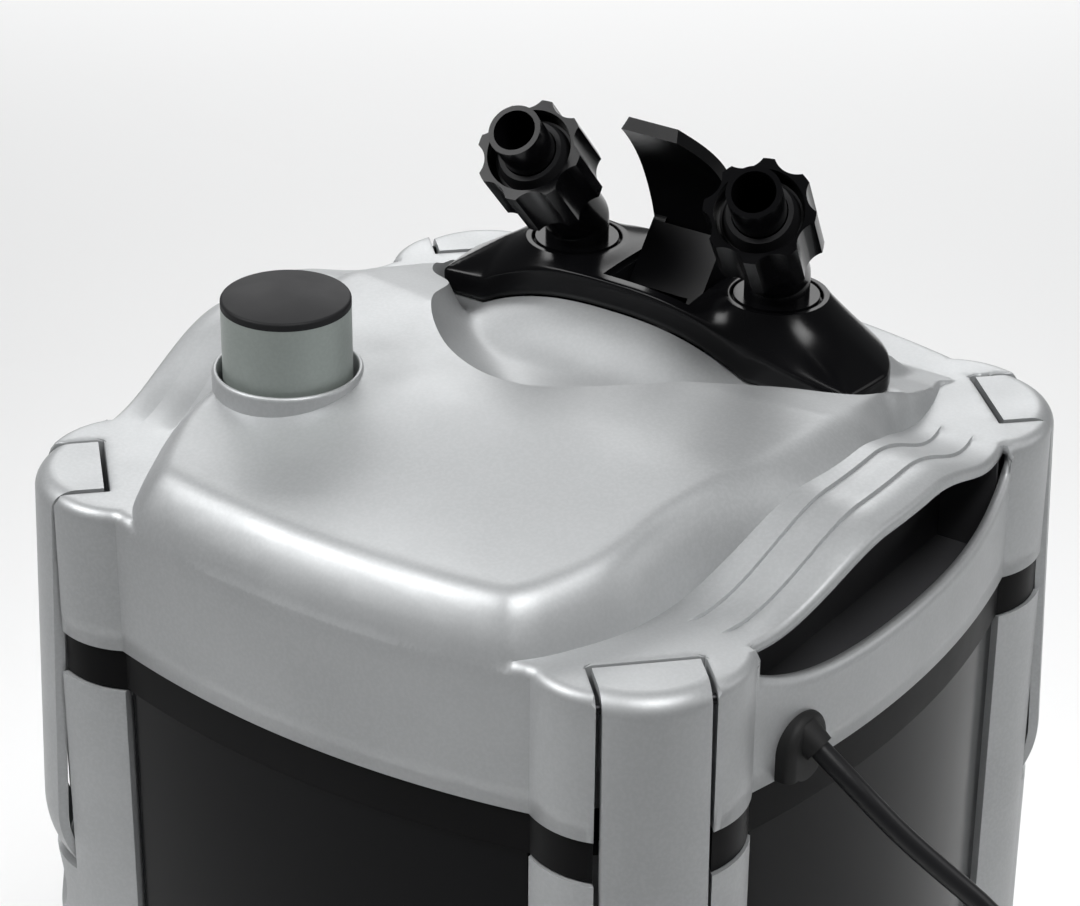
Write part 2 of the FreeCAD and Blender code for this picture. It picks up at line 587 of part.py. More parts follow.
# ---------------------------------------------------------------- hose adapter
def adp_plan(inset=0.0):
    """Sharp corners in front, wide round corners at the back."""
    i, r = inset, max(0.5, 2.5 - inset)
    e = []
    for s in (1, -1):
        x0, y0, y1 = 72.2 - i, ADP_Y0 + i, ADP_Y1 - i
        k = r * (1 - c45)
        e.append(Part.Arc(V(s * (x0 - r), y0, 0), V(s * (x0 - k), y0 + k, 0), V(s * x0, y0 + r, 0)).toShape())
        e.append(Part.Arc(V(s * x0, y0 + r, 0), V(s * (73.3 - i), 54.0, 0), V(s * (73.8 - i), 62.6, 0)).toShape())
        e.append(Part.Arc(V(s * (73.8 - i), 62.6, 0), V(s * (66.5 - 0.8 * i), 75.5 - 0.6 * i, 0), V(s * 50.0, y1, 0)).toShape())
    e.append(Part.LineSegment(V(-(x0 - r), y0, 0), V(x0 - r, y0, 0)).toShape())
    e.append(Part.LineSegment(V(-50.0, y1, 0), V(50.0, y1, 0)).toShape())
    return Part.Face(Part.Wire(Part.sortEdges(e)[0]))


ADP_PLAN = [(72.2, 43.0), (73.3, 54.0), (73.8, 62.6), (72.0, 68.7), (69.4, 72.6), (66.5, 75.5), (62.0, 79.1),
            (56.8, 82.1), (50.0, 84.0)]
ADP_PLAN = ADP_PLAN + [(-x, y) for x, y in reversed(ADP_PLAN)]
# height of the upright band round the adapter, against x
ADP_BAND = [(-73.8, 6.8), (-29.0, 8.6), (42.0, 8.6), (53.0, 7.0), (73.8, 4.8)]


def adp_sd(px, py):
    """Distance inside the plan of the adapter."""
    return sdist(px, py, ADP_PLAN)


def adp_top(x, y):
    d = max(adp_sd(x, y), -6.0)
    edge = adp_low(max(-70.0, min(70.0, x))) + table(ADP_BAND, x)
    best = 0.0
    for sx in (-1, 1):
        rho = math.hypot(x - sx * TOWER_X, y - TOWER_Y)
        if rho < 15.5:
            h = 1.0
        else:
            dd = max(d, 0.0)
            h = dd / (dd + (rho - 15.5) + 1e-6)
        best = max(best, h)
    if abs(x) < 20:
        best *= 0.35 + 0.65 * sstep((abs(x) - 13.0) / 7.0) if best < 1 else 1.0
    return edge + (TOWER_Z - edge) * best


af = height_face(lambda x, y: ZD + adp_top(x, y), n=61, step=2.5, cx=0.0, cy=63.5, ny=23)
adp = prism(adp_plan(), ZD + 9.4, ZD + 36).cut(af.extrude(V(0, 0, 60)))
low_pts = [(-90, 30, ZD - 20)]
for i in range(41):
    x = -60 + 120 * i / 40.0
    low_pts.append((x, 30, ZD + adp_low(x)))
low_pts += [(90, 30, ZD - 20)]
lowcut = Part.Face(Part.makePolygon([V(*p) for p in low_pts] + [V(*low_pts[0])])).extrude(V(0, 32, 0))
afl = af.copy()
afl.translate(V(0, 0, -2.6))
cav = prism(adp_plan(2.6), ZD, ZD + 36).cut(afl.extrude(V(0, 0, 60)))
# keep the towers, their spigots and the lever well solid inside the hollow
keep = None
for sx in (-1, 1):
    k = cyl(15.6, ZD - 40, ZD + 40, sx * TOWER_X, TOWER_Y)
    keep = k if keep is None else keep.fuse(k)
keep = keep.fuse(box(-18.6, 49.0, ZD, 18.6, 82, ZD + 40))
cav = cav.cut(keep)
adp = adp.cut(cav)
adp = adp.cut(lowcut.cut(keep))
for sx in (-1, 1):
    x = sx * TOWER_X
    adp = adp.fuse(cyl(11.2, ZD - 24, ZD + 14, x, TOWER_Y))
    adp = adp.cut(cyl(13.6, ZD + 20, ZD + 40, x, TOWER_Y))
    adp = adp.cut(cyl(NECK_R + 0.08, ZD + 13, ZD + 21, x, TOWER_Y))
    adp = adp.cut(cyl(8.0, ZD - 30, ZD + 20, x, TOWER_Y))
    adp = adp.cut(Part.makeTorus(10.6, 1.0, V(x, TOWER_Y, ZD - 18)))
# well for the lever
lw0, lw1 = -15.2, 15.2
adp = adp.cut(box(lw0, 51.5, ZD + 12.0, lw1, 81.0, ZD + 50))
adp = adp.cut(box(lw0, ADP_Y0 + 3.6, ZD + 19.9, lw1, 81.0, ZD + 50))
adp = adp.cut(Part.makeCylinder(2.05, 36.4, V(-18.2, LEV_PIVOT[0], ZD + LEV_PIVOT[1]), V(1, 0, 0)))
nodes["hose_adapter"] = one(adp)
og = []
for sx in (-1, 1):
    og.append(Part.makeTorus(10.55, 0.85, V(sx * TOWER_X, TOWER_Y, ZD - 18)))
nodes["spigot_o_rings"] = Part.makeCompound(og)

# ---------------------------------------------------------------- lever
lp = [(73.0, 36.0), (72.3, 44.0), (70.0, 52.5), (65.5, 61.0), (58.5, 69.0), (47.5, 78.0)]
# plate: centre line in Y-Z, 4 thick
bs_ = Part.BSplineCurve()
bs_.interpolate([V(0, y, ZD + z) for y, z in lp])
L = bs_.length() if hasattr(bs_, "length") else 50.0
N = 14
front, back = [], []
for i in range(N + 1):
    u = bs_.FirstParameter + (bs_.LastParameter - bs_.FirstParameter) * i / N
    p = bs_.value(u)
    t = bs_.tangent(u)[0]
    n = V(0, t.z, -t.y)
    back.append(p + n * 2.0)
    front.append(p - n * 2.0)
bf = Part.BSplineCurve()
bf.interpolate(front)
bb = Part.BSplineCurve()
bb.interpolate(back)
w = Part.Wire([bf.toShape(), Part.LineSegment(front[-1], back[-1]).toShape(),
               Part.Wire([bb.toShape()]).Edges[0], Part.LineSegment(back[0], front[0]).toShape()])
w = Part.Wire(Part.sortEdges(w.Edges)[0])
plate = Part.Face(w).extrude(V(40, 0, 0))
plate.translate(V(-20, 0, 0))
# outline of the plate seen from the front
half = [(12.6, 30), (12.8, 36), (14.0, 46), (14.6, 55), (13.8, 64), (11.6, 71.5), (8.4, 80), (8.0, 82)]
hs = Part.BSplineCurve()
hs.interpolate([V(x, 0, ZD + z) for x, z in half])
hm = Part.BSplineCurve()
hm.interpolate([V(-x, 0, ZD + z) for x, z in half])
of_ = Part.Wire(Part.sortEdges([hs.toShape(), hm.toShape(),
                               Part.LineSegment(V(-8.0, 0, ZD + 82), V(8.0, 0, ZD + 82)).toShape(),
                               Part.LineSegment(V(-12.6, 0, ZD + 30), V(12.6, 0, ZD + 30)).toShape()])[0])
shape_f = Part.Face(of_).extrude(V(0, 120, 0))
plate = plate.common(shape_f)
py, pz = LEV_PIVOT
ang = math.atan2(36.0 - pz, 73.0 - py)
arm_len = math.hypot(73.0 - py, 36.0 - pz)
arms = None
for s in (-1, 1):
    x0, x1 = (8.4, 12.6) if s > 0 else (-12.6, -8.4)
    a_ = box(x0, 0, -4.6, x1, arm_len, 4.6)
    a_ = a_.fuse(Part.makeCylinder(4.6, x1 - x0, V(x0, 0, 0), V(1, 0, 0)))
    a_ = a_.fuse(Part.makeCylinder(4.6, x1 - x0, V(x0, arm_len, 0), V(1, 0, 0)))
    a_.rotate(V(0, 0, 0), V(1, 0, 0), math.degrees(ang))
    a_.translate(V(0, py, ZD + pz))
    arms = a_ if arms is None else arms.fuse(a_)
web = box(-9, -1, 2.0, 9, arm_len, 4.6)
web.rotate(V(0, 0, 0), V(1, 0, 0), math.degrees(ang))
web.translate(V(0, py, ZD + pz))
web = web.cut(Part.makeCylinder(6.0, 30, V(-15, py, ZD + pz), V(1, 0, 0)))
lever = plate.fuse(arms).fuse(web)
# hinge pin moulded across the two arms
lever = lever.fuse(Part.makeCylinder(2.0, 36.0, V(-18.0, py, ZD + pz), V(1, 0, 0)))
nodes["release_lever"] = one(lever)


# ---------------------------------------------------------------- elbows, grip rings, nuts
def elbow_parts(tx, az):
    b, f = math.radians(ELBOW_TILT), math.radians(az)
    d = V(math.sin(b) * math.sin(f), -math.sin(b) * math.cos(f), math.cos(b))
    o = V(tx, TOWER_Y, ZD + ELBOW_Z)

    def rod(r, s0, s1):
        return Part.makeCylinder(r, s1 - s0, o + d * s0, d)
    el = cyl(NECK_R, ZD + 13.4, ZD + ELBOW_Z, tx, TOWER_Y)
    el = el.fuse(Part.makeSphere(NECK_R, o)).fuse(rod(NECK_R, 0, 22))
    el = el.fuse(cyl(12.7, ZD + 20.4, ZD + TOWER_Z, tx, TOWER_Y))
    el = el.fuse(rod(10.9, 19, 37))
    el = el.fuse(rod(NOZZLE_R - 0.6, 30, NUT_S1)).fuse(rod(NOZZLE_R, NUT_S1 - 0.4, NOZZLE_END))
    el = el.cut(rod(6.3, 0, 80)).cut(cyl(6.3, ZD, ZD + ELBOW_Z, tx, TOWER_Y)).cut(Part.makeSphere(6.3, o))
    nut = rod(NUT_R, NUT_S0, NUT_S1)
    # eight flutes between the lobes
    ref = V(0, 0, 1).cross(d)
    ref.normalize()
    ref2 = d.cross(ref)
    for i in range(8):
        a = math.radians(45 * i + 22.5)
        c = o + (ref * math.cos(a) + ref2 * math.sin(a)) * 20.6 + d * (NUT_S0 - 1)
        nut = nut.cut(Part.makeCylinder(6.9, NUT_S1 - NUT_S0 + 2, c, d))
    nut = nut.cut(rod(11.25, NUT_S0 - 1, 38)).cut(rod(12.9, 38, NUT_S1 + 1))
    ring = rod(11.9, 38.2, 41.0)
    cone = Part.makeCone(11.2, 9.6, 4.5, o + d * 41.0, d)
    ring = ring.fuse(cone).cut(rod(NOZZLE_R + 0.25, 30, 60))
    return one(el), one(nut), one(ring), o, d


for nm, tx, az in (("left", -TOWER_X, ELBOW_AZ_L), ("right", TOWER_X, ELBOW_AZ_R)):
    el, nut, ring, o, d = elbow_parts(tx, az)
    nodes["elbow_" + nm] = el
    nodes["hose_nut_" + nm] = nut
    nodes["grip_ring_" + nm] = ring
    print(nm, "bend point", [round(c / 1000.0, 6) for c in (o.x, o.y, o.z)], "axis", [round(c, 6) for c in (d.x, d.y, d.z)])

# ---------------------------------------------------------------- canister contents
RX, RY = -TOWER_X, TOWER_Y
nodes["riser_pipe"] = tube(10.5, 8.6, 34, Z0 + 7.0, RX, RY)
hb = 86.0
names = ("lower", "middle", "upper")


def rounded(h, r, z0, z1):
    """Square prism of half width h with corners of radius r."""
    k = r * (1 - c45)
    e = []
    for q in range(4):
        a = math.radians(90 * q)
        ca, sa = math.cos(a), math.sin(a)

        def T(x, y):
            return V(x * ca - y * sa, x * sa + y * ca, 0)
        e.append(Part.LineSegment(T(h, -h + r), T(h, h - r)).toShape())
        e.append(Part.Arc(T(h, h - r), T(h - k, h - k), T(h - r, h)).toShape())
    return prism(Part.Face(Part.Wire(e)), z0, z1)


for i, nm in enumerate(names):
    z0 = 21.0 + i * (hb + 0.5)
    bk = rounded(88.5, 14.0, z0, z0 + hb).cut(rounded(86.5, 12.0, z0 + 2, z0 + hb + 1))
    for a in range(-6, 7):
        for b_ in (-1, 0, 1):
            sx0, sx1, sy0, sy1 = a * 12 - 2.5, a * 12 + 2.5, b_ * 53 - 22, b_ * 53 + 22
            if sx0 - 16 < RX < sx1 + 16 and sy0 - 16 < RY < sy1 + 16:
                sy1 = RY - 16.5
                if sy1 - sy0 < 6:
                    continue
            bk = bk.cut(box(sx0, sy0, z0 - 1, sx1, sy1, z0 + 3))
    bk = bk.cut(cyl(13.0, z0 - 1, z0 + 3, RX, RY))
    bk = bk.fuse(tube(14.0, 12.0, z0, z0 + hb, RX, RY))
    nodes["media_basket_" + nm] = one(bk)


def pad(z0, z1):
    return rounded(85.5, 11.0, z0, z1).cut(cyl(14.6, z0 - 1, z1 + 1, RX, RY))


nodes["coarse_sponge"] = pad(23.4, 63.0)
nodes["fine_sponge"] = pad(64.0, 103.0)
rings = []
z0 = 21.0 + hb + 0.5 + 2.2
for i in range(7):
    for j in range(7):
        x, y = -75 + 25 * i, -75 + 25 * j
        if math.hypot(x - RX, y - RY) > 26:
            for k in (0, 1, 2):
                rings.append(tube(9.0, 4.5, z0 + 24 * k, z0 + 24 * k + 22, x, y))
nodes["ceramic_rings"] = Part.makeCompound(rings)
balls = []
z0 = 21.0 + 2 * (hb + 0.5) + 2.2
for i in range(5):
    for j in range(5):
        x, y = -70 + 35 * i, -70 + 35 * j
        if math.hypot(x - RX, y - RY) > 32:
            balls.append(Part.makeSphere(16.0, V(x, y, z0 + 16.2)))
nodes["bio_balls"] = Part.makeCompound(balls)

# ---------------------------------------------------------------- cord
gx = face_x(GY)
# arch-shaped boss
gb = box(gx - 6, GY - 9.6, ZD - HEAD_H + 0.2, gx + 3.4, GY + 9.6, ZD + GZ)
gb = gb.fuse(Part.makeCylinder(9.6, 9.4, V(gx - 6, GY, ZD + GZ), V(1, 0, 0)))
gb = one(gb)
ge = [e for e in gb.Edges if e.BoundBox.XMin > gx + 3.3 and e.BoundBox.ZMax > ZD - HEAD_H + 1.0]
gb = gb.makeFillet(2.6, ge)
CORD = [(120.2, -52.5, ZD - 34.6), (131.0, -52.0, ZD - 42.3), (144.0, -48.0, ZD - 55.5),
        (156.0, -43.0, ZD - 66.5), (168.0, -37.0, ZD - 78.0), (180.5, -28.0, ZD - 98.0),
        (190.5, -19.5, ZD - 128.0), (197.5, -15.5, ZD - 168.0), (201.5, -13.0, ZD - 217.0),
        (203.5, -11.5, ZD - 268.0), (204.0, -9.5, ZD - 313.0), (204.2, -3.0, ZD - 347.0),
        (204.2, 17.0, 4.2), (204.0, 43.0, 3.05), (204.0, 66.0, 3.0)]
d0 = (V(*CORD[1]) - V(*CORD[0]))
d0.normalize()
nose = Part.makeCone(5.0, 4.3, 7.0, V(*CORD[0]) - d0 * 5.0, d0)
gland = gb.fuse(nose).cut(prism(outline(-0.02), ZD - 80, ZD).cut(prism(outline(40), ZD - 90, ZD + 1)))
gland = gland.fuse(Part.makeCylinder(5.0, 4.2, V(gx - 2.2, GY, ZD - 37.6), V(1, 0, 0)))
gland = gland.fuse(box(gx - 2.2, GY - 5.0, ZD - HEAD_H + 0.1, gx + 2, GY + 5.0, ZD - 37.6))
gland = gland.cut(Part.makeCylinder(3.0, 30, V(*CORD[0]), d0))
nodes["cord_gland"] = one(gland)


nodes["cord_tube"], l_tube = cord_solid(CORD, "cord_tube")
cx, cy = COIL_C
TAIL = [(199.0, 72.0, 8.4), (197.5, 88.0, 6.6), (194.0, 104.0, 4.6), (188.5, 118.5, 6.2)]
nodes["cord_tail"], l_tail = cord_solid(TAIL, "cord_tail")
rim_pts = [(24.0, 1.2), (25.2, 0.0), (40.8, 0.0), (42.0, 1.2), (42.0, 5.4), (39.0, 8.6), (39.0, 10.0), (37.8, 11.2),
           (28.2, 11.2), (27.0, 10.0), (27.0, 8.6), (24.0, 5.4)]
pf = Part.makePolygon([V(cx + r, cy, z) for r, z in rim_pts] + [V(cx + rim_pts[0][0], cy, rim_pts[0][1])])
nodes["cord_coil"] = Part.Face(pf).revolve(V(cx, cy, 0), V(0, 0, 1), 360)
l_coil = 2 * math.pi * (27 + 33 + 39 + 30 + 36)
print("cord length in all", round(l_tube + l_coil + l_tail, 1), "coil", round(l_coil, 1))

# plug lying beside the coil
pd = V(*TAIL[-1]) - V(*TAIL[-2])
pd.z = 0
pd.normalize()
pa = math.degrees(math.atan2(pd.y, pd.x))
pl = Part.makeCone(3.9, 5.2, 14, V(0, 0, 0), V(1, 0, 0))
body = box(13, -12.5, -6.2, 38, 12.5, 6.8)
be = [e for e in body.Edges if abs((e.Vertexes[0].Point - e.Vertexes[-1].Point).x) > 1]
body = body.makeFillet(5.5, be)
pl = pl.fuse(body)
grip = [e for e in body.Edges]
pl = pl.cut(Part.makeCylinder(3.0, 6.0, V(-1, 0, 0), V(1, 0, 0)))
pinz = []
for s in (-1, 1):
    hole = Part.makeCylinder(2.0, 6.0, V(32.1, 9.3 * s, 0.3), V(1, 0, 0))
    pl = pl.cut(hole)
    p = Part.makeCylinder(2.0, 24.0, V(32.1, 9.3 * s, 0.3), V(1, 0, 0))
    pinz.append(p)


def put_plug(s):
    s = s.copy()
    s.rotate(V(0, 0, 0), V(0, 0, 1), pa)
    q = V(*TAIL[-1]) - pd * 5.0
    s.translate(V(q.x, q.y, 6.21))
    return s


nodes["plug_body"] = put_plug(one(pl))
nodes["plug_pins"] = Part.makeCompound([put_plug(p) for p in pinz])

# ---------------------------------------------------------------- write
tot = None
for nm in sorted(nodes):
    s = nodes[nm]
    ok = s.isValid()
    bbx = s.BoundBox
    print("%-28s solids %3d valid %s vol %10.1f  z %.1f..%.1f" % (nm, len(s.Solids), ok, s.Volume, bbx.ZMin, bbx.ZMax))
    s.exportStep("parts/%s.step" % nm)
print(len(nodes), "nodes")
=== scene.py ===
import bpy, bmesh, json, math
import numpy as np
from mathutils.geometry import delaunay_2d_cdt
from mathutils import Matrix, Vector


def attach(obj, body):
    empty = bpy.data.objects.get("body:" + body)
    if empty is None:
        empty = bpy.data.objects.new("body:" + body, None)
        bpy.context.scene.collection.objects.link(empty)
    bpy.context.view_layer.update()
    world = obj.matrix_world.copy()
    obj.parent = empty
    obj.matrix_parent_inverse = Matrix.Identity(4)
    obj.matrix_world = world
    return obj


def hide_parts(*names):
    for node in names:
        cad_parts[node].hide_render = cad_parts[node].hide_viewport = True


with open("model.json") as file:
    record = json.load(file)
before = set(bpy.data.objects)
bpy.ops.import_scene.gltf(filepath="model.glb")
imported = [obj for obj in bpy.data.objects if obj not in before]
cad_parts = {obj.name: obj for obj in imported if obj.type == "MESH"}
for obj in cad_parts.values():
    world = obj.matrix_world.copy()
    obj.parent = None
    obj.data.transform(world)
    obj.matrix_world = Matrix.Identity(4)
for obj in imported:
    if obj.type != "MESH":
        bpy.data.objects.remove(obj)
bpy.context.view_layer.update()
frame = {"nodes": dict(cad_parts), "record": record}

# ------------------------------------------------------------------ camera
C_POS = (0.477368, -0.696365, 0.807038)
C_RIGHT = (0.819646, 0.57282, 0.007568)
C_UP = (-0.272306, 0.377952, 0.884874)
C_BACK = (0.504013, -0.727345, 0.465769)
cam_data = bpy.data.cameras.new("camera")
cam_data.sensor_fit = "HORIZONTAL"
cam_data.sensor_width = 36.0
cam_data.lens = 109.5
cam_data.clip_start = 0.01
cam_data.clip_end = 50.0
cam = bpy.data.objects.new("camera", cam_data)
bpy.context.scene.collection.objects.link(cam)
cam.matrix_world = Matrix((
    (C_RIGHT[0], C_UP[0], C_BACK[0], C_POS[0]),
    (C_RIGHT[1], C_UP[1], C_BACK[1], C_POS[1]),
    (C_RIGHT[2], C_UP[2], C_BACK[2], C_POS[2]),
    (0, 0, 0, 1)))
bpy.context.scene.camera = cam

ZD = 0.370
MM = 0.001


# ------------------------------------------------------------------ materials
class Mat:
    """Small helper that strings shader nodes together."""

    def __init__(self, name):
        self.m = bpy.data.materials.new(name)
        self.m.use_nodes = True
        self.nt = self.m.node_tree
        self.nt.nodes.clear()
        self.out = self.nt.nodes.new("ShaderNodeOutputMaterial")
        self.b = self.nt.nodes.new("ShaderNodeBsdfPrincipled")
        self.nt.links.new(self.b.outputs[0], self.out.inputs[0])
        self.tc = self.nt.nodes.new("ShaderNodeTexCoord")

    def node(self, kind, **kw):
        n = self.nt.nodes.new(kind)
        for k, v in kw.items():
            setattr(n, k, v)
        return n

    def link(self, a, b):
        self.nt.links.new(a, b)

    def set(self, name, value):
        self.b.inputs[name].default_value = value

    def noise(self, scale, detail=4.0, rough=0.55, vec=None, stretch=None):
        n = self.node("ShaderNodeTexNoise")
        n.inputs["Scale"].default_value = scale
        n.inputs["Detail"].default_value = detail
        n.inputs["Roughness"].default_value = rough
        src = vec or self.tc.outputs["Object"]
        if stretch:
            mp = self.node("ShaderNodeMapping")
            mp.inputs["Scale"].default_value = stretch
            self.link(src, mp.inputs["Vector"])
            src = mp.outputs["Vector"]
        self.link(src, n.inputs["Vector"])
        return n.outputs["Fac"]

    def ramp(self, fac, stops, interp="LINEAR"):
        r = self.node("ShaderNodeValToRGB")
        r.color_ramp.interpolation = interp
        el = r.color_ramp.elements
        while len(el) > 1:
            el.remove(el[-1])
        el[0].position, el[0].color = stops[0][0], tuple(stops[0][1]) + (1,)
        for p, c in stops[1:]:
            e = el.new(p)
            e.color = tuple(c) + (1,)
        self.link(fac, r.inputs["Fac"])
        return r.outputs["Color"]

    def span(self, fac, a, b, lo, hi):
        m = self.node("ShaderNodeMapRange")
        m.inputs["From Min"].default_value = a
        m.inputs["From Max"].default_value = b
        m.inputs["To Min"].default_value = lo
        m.inputs["To Max"].default_value = hi
        self.link(fac, m.inputs["Value"])
        return m.outputs["Result"]

    def math(self, op, a, b=None):
        m = self.node("ShaderNodeMath", operation=op)
        for i, v in enumerate((a, b)):
            if v is None:
                continue
            if isinstance(v, (int, float)):
                m.inputs[i].default_value = v
            else:
                self.link(v, m.inputs[i])
        return m.outputs[0]

    def mix(self, fac, a, b):
        m = self.node("ShaderNodeMix", data_type="RGBA")
        if isinstance(fac, (int, float)):
            m.inputs[0].default_value = fac
        else:
            self.link(fac, m.inputs[0])
        for i, v in ((6, a), (7, b)):
            if isinstance(v, tuple):
                m.inputs[i].default_value = v + (1,)
            else:
                self.link(v, m.inputs[i])
        return m.outputs[2]

    def bump(self, height, strength=0.3, dist=0.0002):
        n = self.node("ShaderNodeBump")
        n.inputs["Strength"].default_value = strength
        n.inputs["Distance"].default_value = dist
        self.link(height, n.inputs["Height"])
        self.link(n.outputs["Normal"], self.b.inputs["Normal"])
        return n

    def edge(self, lo=0.47, hi=0.56):
        """0..1 on convex edges."""
        g = self.node("ShaderNodeNewGeometry")
        return self.span(g.outputs["Pointiness"], lo, hi, 0.0, 1.0)


def satin_silver(name, tint=(0.42, 0.43, 0.436)):
    m = Mat(name)
    fine = m.noise(900.0, 2.0)
    broad = m.noise(9.0, 3.0)
    lo = tuple(c * 0.93 for c in tint)
    hi = tuple(min(1.0, c * 1.07) for c in tint)
    base = m.ramp(broad, [(0.35, lo), (0.65, hi)])
    flake = m.ramp(fine, [(0.42, (0.0, 0.0, 0.0)), (0.62, (1.0, 1.0, 1.0))])
    fl = m.node("ShaderNodeSeparateColor")
    m.link(flake, fl.inputs[0])
    col = m.mix(m.math("MULTIPLY", fl.outputs[0], 0.16), base, tuple(min(1.0, c * 1.35) for c in tint))
    m.link(col, m.b.inputs["Base Color"])
    m.set("Metallic", 0.55)
    m.link(m.span(m.noise(60.0, 3.0), 0.3, 0.7, 0.45, 0.52), m.b.inputs["Roughness"])
    m.set("Coat Weight", 0.10)
    m.set("Coat Roughness", 0.30)
    m.bump(fine, 0.06, 0.00005)
    return m.m


def black_plastic(name, rough=(0.30, 0.38), tint=(0.012, 0.012, 0.013), grain=500.0, gb=0.12, coat=0.0, spec=0.35):
    m = Mat(name)
    n = m.noise(grain, 3.0)
    b = m.noise(14.0, 3.0)
    col = m.ramp(b, [(0.3, tuple(c * 0.8 for c in tint)), (0.7, tuple(c * 1.3 for c in tint))])
    m.link(col, m.b.inputs["Base Color"])
    m.link(m.span(m.noise(45.0, 4.0), 0.3, 0.7, rough[0], rough[1]), m.b.inputs["Roughness"])
    m.set("Coat Weight", coat)
    m.set("Coat Roughness", 0.06)
    m.set("Specular IOR Level", spec)
    m.bump(n, gb, 0.00006)
    return m.m


def plain_plastic(name, tint, rough=(0.4, 0.5)):
    m = Mat(name)
    b = m.noise(20.0, 3.0)
    col = m.ramp(b, [(0.3, tuple(c * 0.92 for c in tint)), (0.7, tuple(min(1, c * 1.08) for c in tint))])
    m.link(col, m.b.inputs["Base Color"])
    m.link(m.span(m.noise(60.0, 3.0), 0.3, 0.7, rough[0], rough[1]), m.b.inputs["Roughness"])
    m.bump(m.noise(350.0, 3.0), 0.08, 0.00008)
    return m.m


def metal(name, tint, rough=(0.22, 0.34)):
    m = Mat(name)
    b = m.noise(40.0, 4.0)
    col = m.ramp(b, [(0.3, tuple(c * 0.85 for c in tint)), (0.7, tint)])
    m.link(col, m.b.inputs["Base Color"])
    m.set("Metallic", 1.0)
    m.link(m.span(m.noise(200.0, 3.0, stretch=(1, 1, 8)), 0.3, 0.7, rough[0], rough[1]), m.b.inputs["Roughness"])
    return m.m


def foam(name, tint):
    m = Mat(name)
    v = m.node("ShaderNodeTexVoronoi")
    v.inputs["Scale"].default_value = 700.0
    m.link(m.tc.outputs["Object"], v.inputs["Vector"])
    col = m.ramp(v.outputs["Distance"], [(0.1, tuple(c * 0.25 for c in tint)), (0.5, tint)])
    m.link(col, m.b.inputs["Base Color"])
    m.set("Roughness", 0.95)
    m.bump(v.outputs["Distance"], 0.8, 0.0008)
    return m.m


MAT = {
    "satin_silver": satin_silver("satin_silver"),
    "black_satin": black_plastic("black_satin", (0.34, 0.42), (0.0040, 0.0040, 0.0043), spec=0.07),
    "black_gloss": black_plastic("black_gloss", (0.15, 0.22), (0.0035, 0.0035, 0.004), 120.0, 0.03, 0.0, 0.13),
    "liner_black": black_plastic("liner_black", (0.38, 0.48), (0.05, 0.05, 0.053), spec=0.3),
    "black_lever": black_plastic("black_lever", (0.26, 0.34), (0.0035, 0.0035, 0.004), 200.0, 0.05, spec=0.08),
    "black_matte": black_plastic("black_matte", (0.50, 0.60), (0.012, 0.012, 0.013), spec=0.2),
    "smoky_gloss": black_plastic("smoky_gloss", (0.12, 0.17), (0.003, 0.0032, 0.0037), 90.0, 0.02, 0.0, 0.10),
    "knob_grey": satin_silver("knob_grey", (0.34, 0.375, 0.355)),
    "grey_plastic": plain_plastic("grey_plastic", (0.16, 0.17, 0.18)),
    "clear_grey": plain_plastic("clear_grey", (0.10, 0.11, 0.12), (0.2, 0.3)),
    "rubber_black": black_plastic("rubber_black", (0.55, 0.68), (0.009, 0.009, 0.009)),
    "cord_black": black_plastic("cord_black", (0.32, 0.42), (0.008, 0.008, 0.009), 300.0, 0.05),
    "steel": metal("steel", (0.62, 0.62, 0.62)),
    # near-black steel for the hinge pins: the dark colour is painted shade for pins deep in the latch gap
    "steel_dark": metal("steel_dark", (0.030, 0.030, 0.032), (0.35, 0.5)),
    "lamination": metal("lamination", (0.20, 0.20, 0.21), (0.35, 0.5)),
    "copper": metal("copper", (0.72, 0.30, 0.14)),
    "ferrite": plain_plastic("ferrite", (0.03, 0.03, 0.03)),
    "ceramic": plain_plastic("ceramic", (0.72, 0.68, 0.60), (0.7, 0.85)),
    "sponge_blue": foam("sponge_blue", (0.05, 0.16, 0.35)),
    "sponge_white": foam("sponge_white", (0.75, 0.78, 0.80)),
}
slot_of = {s["node"]: s["material_slot"] for s in frame["record"]["subparts"]}
for node, obj in frame["nodes"].items():
    m = MAT[slot_of[node]]
    if not obj.material_slots:
        obj.data.materials.append(m)
    for sl in obj.material_slots:
        sl.material = m
# finishes that differ a little from their slot: the rings deep in a gap, the liners and the lever; the hinge pins deep
# in the latch gap get a near-black steel, which is painted shade for the gap
for node, m in (("latch_hinge_pins", "steel_dark"), ("grip_ring_left", "black_matte"), ("grip_ring_right", "black_matte"),
                ("handle_liner_left", "liner_black"), ("handle_liner_right", "liner_black"), ("release_lever", "black_lever")):
    for sl in frame["nodes"][node].material_slots:
        sl.material = MAT[m]

# ------------------------------------------------------------------ head cover
# millimetres, heights measured from the flat corners of the head
FACE_EDGE, FACE_HALF, FACE_BOW = 112.0, 69.9, 120.4
SIDE_MID, SIDE_END = (80.5, 115.2), (91.6, 113.4)
POCKET_R, POCKET_HALF = 129.0, 15.7
ARCH_H, RAIL_OFF, HEAD_H = 13.0, 3.0, 44.0
KNOB, TOWER = (-57.0, -51.0), (35.5, 62.6)
FOOT_R = [(60.0, -113.4), (66.5, -108.5), (71.8, -100.6), (78.3, -86.5), (81.2, -74.8),
          (83.2, -55.8), (87.2, -36.1), (90.6, -16.5), (92.6, 2.0), (92.0, 23.0), (89.3, 33.0),
          (85.6, 42.5), (83.2, 51.0), (82.7, 60.0), (82.5, 69.0), (80.2, 80.5), (76.8, 90.7), (74.5, 97.8)]
FOOT = FOOT_R + [(30.0, 100.0), (-30.0, 100.0)] + [(-x, y) for x, y in reversed(FOOT_R)] + \
    [(-45.0, -116.4), (-22.0, -118.6), (0.0, -119.4), (22.0, -118.6), (45.0, -116.4)]
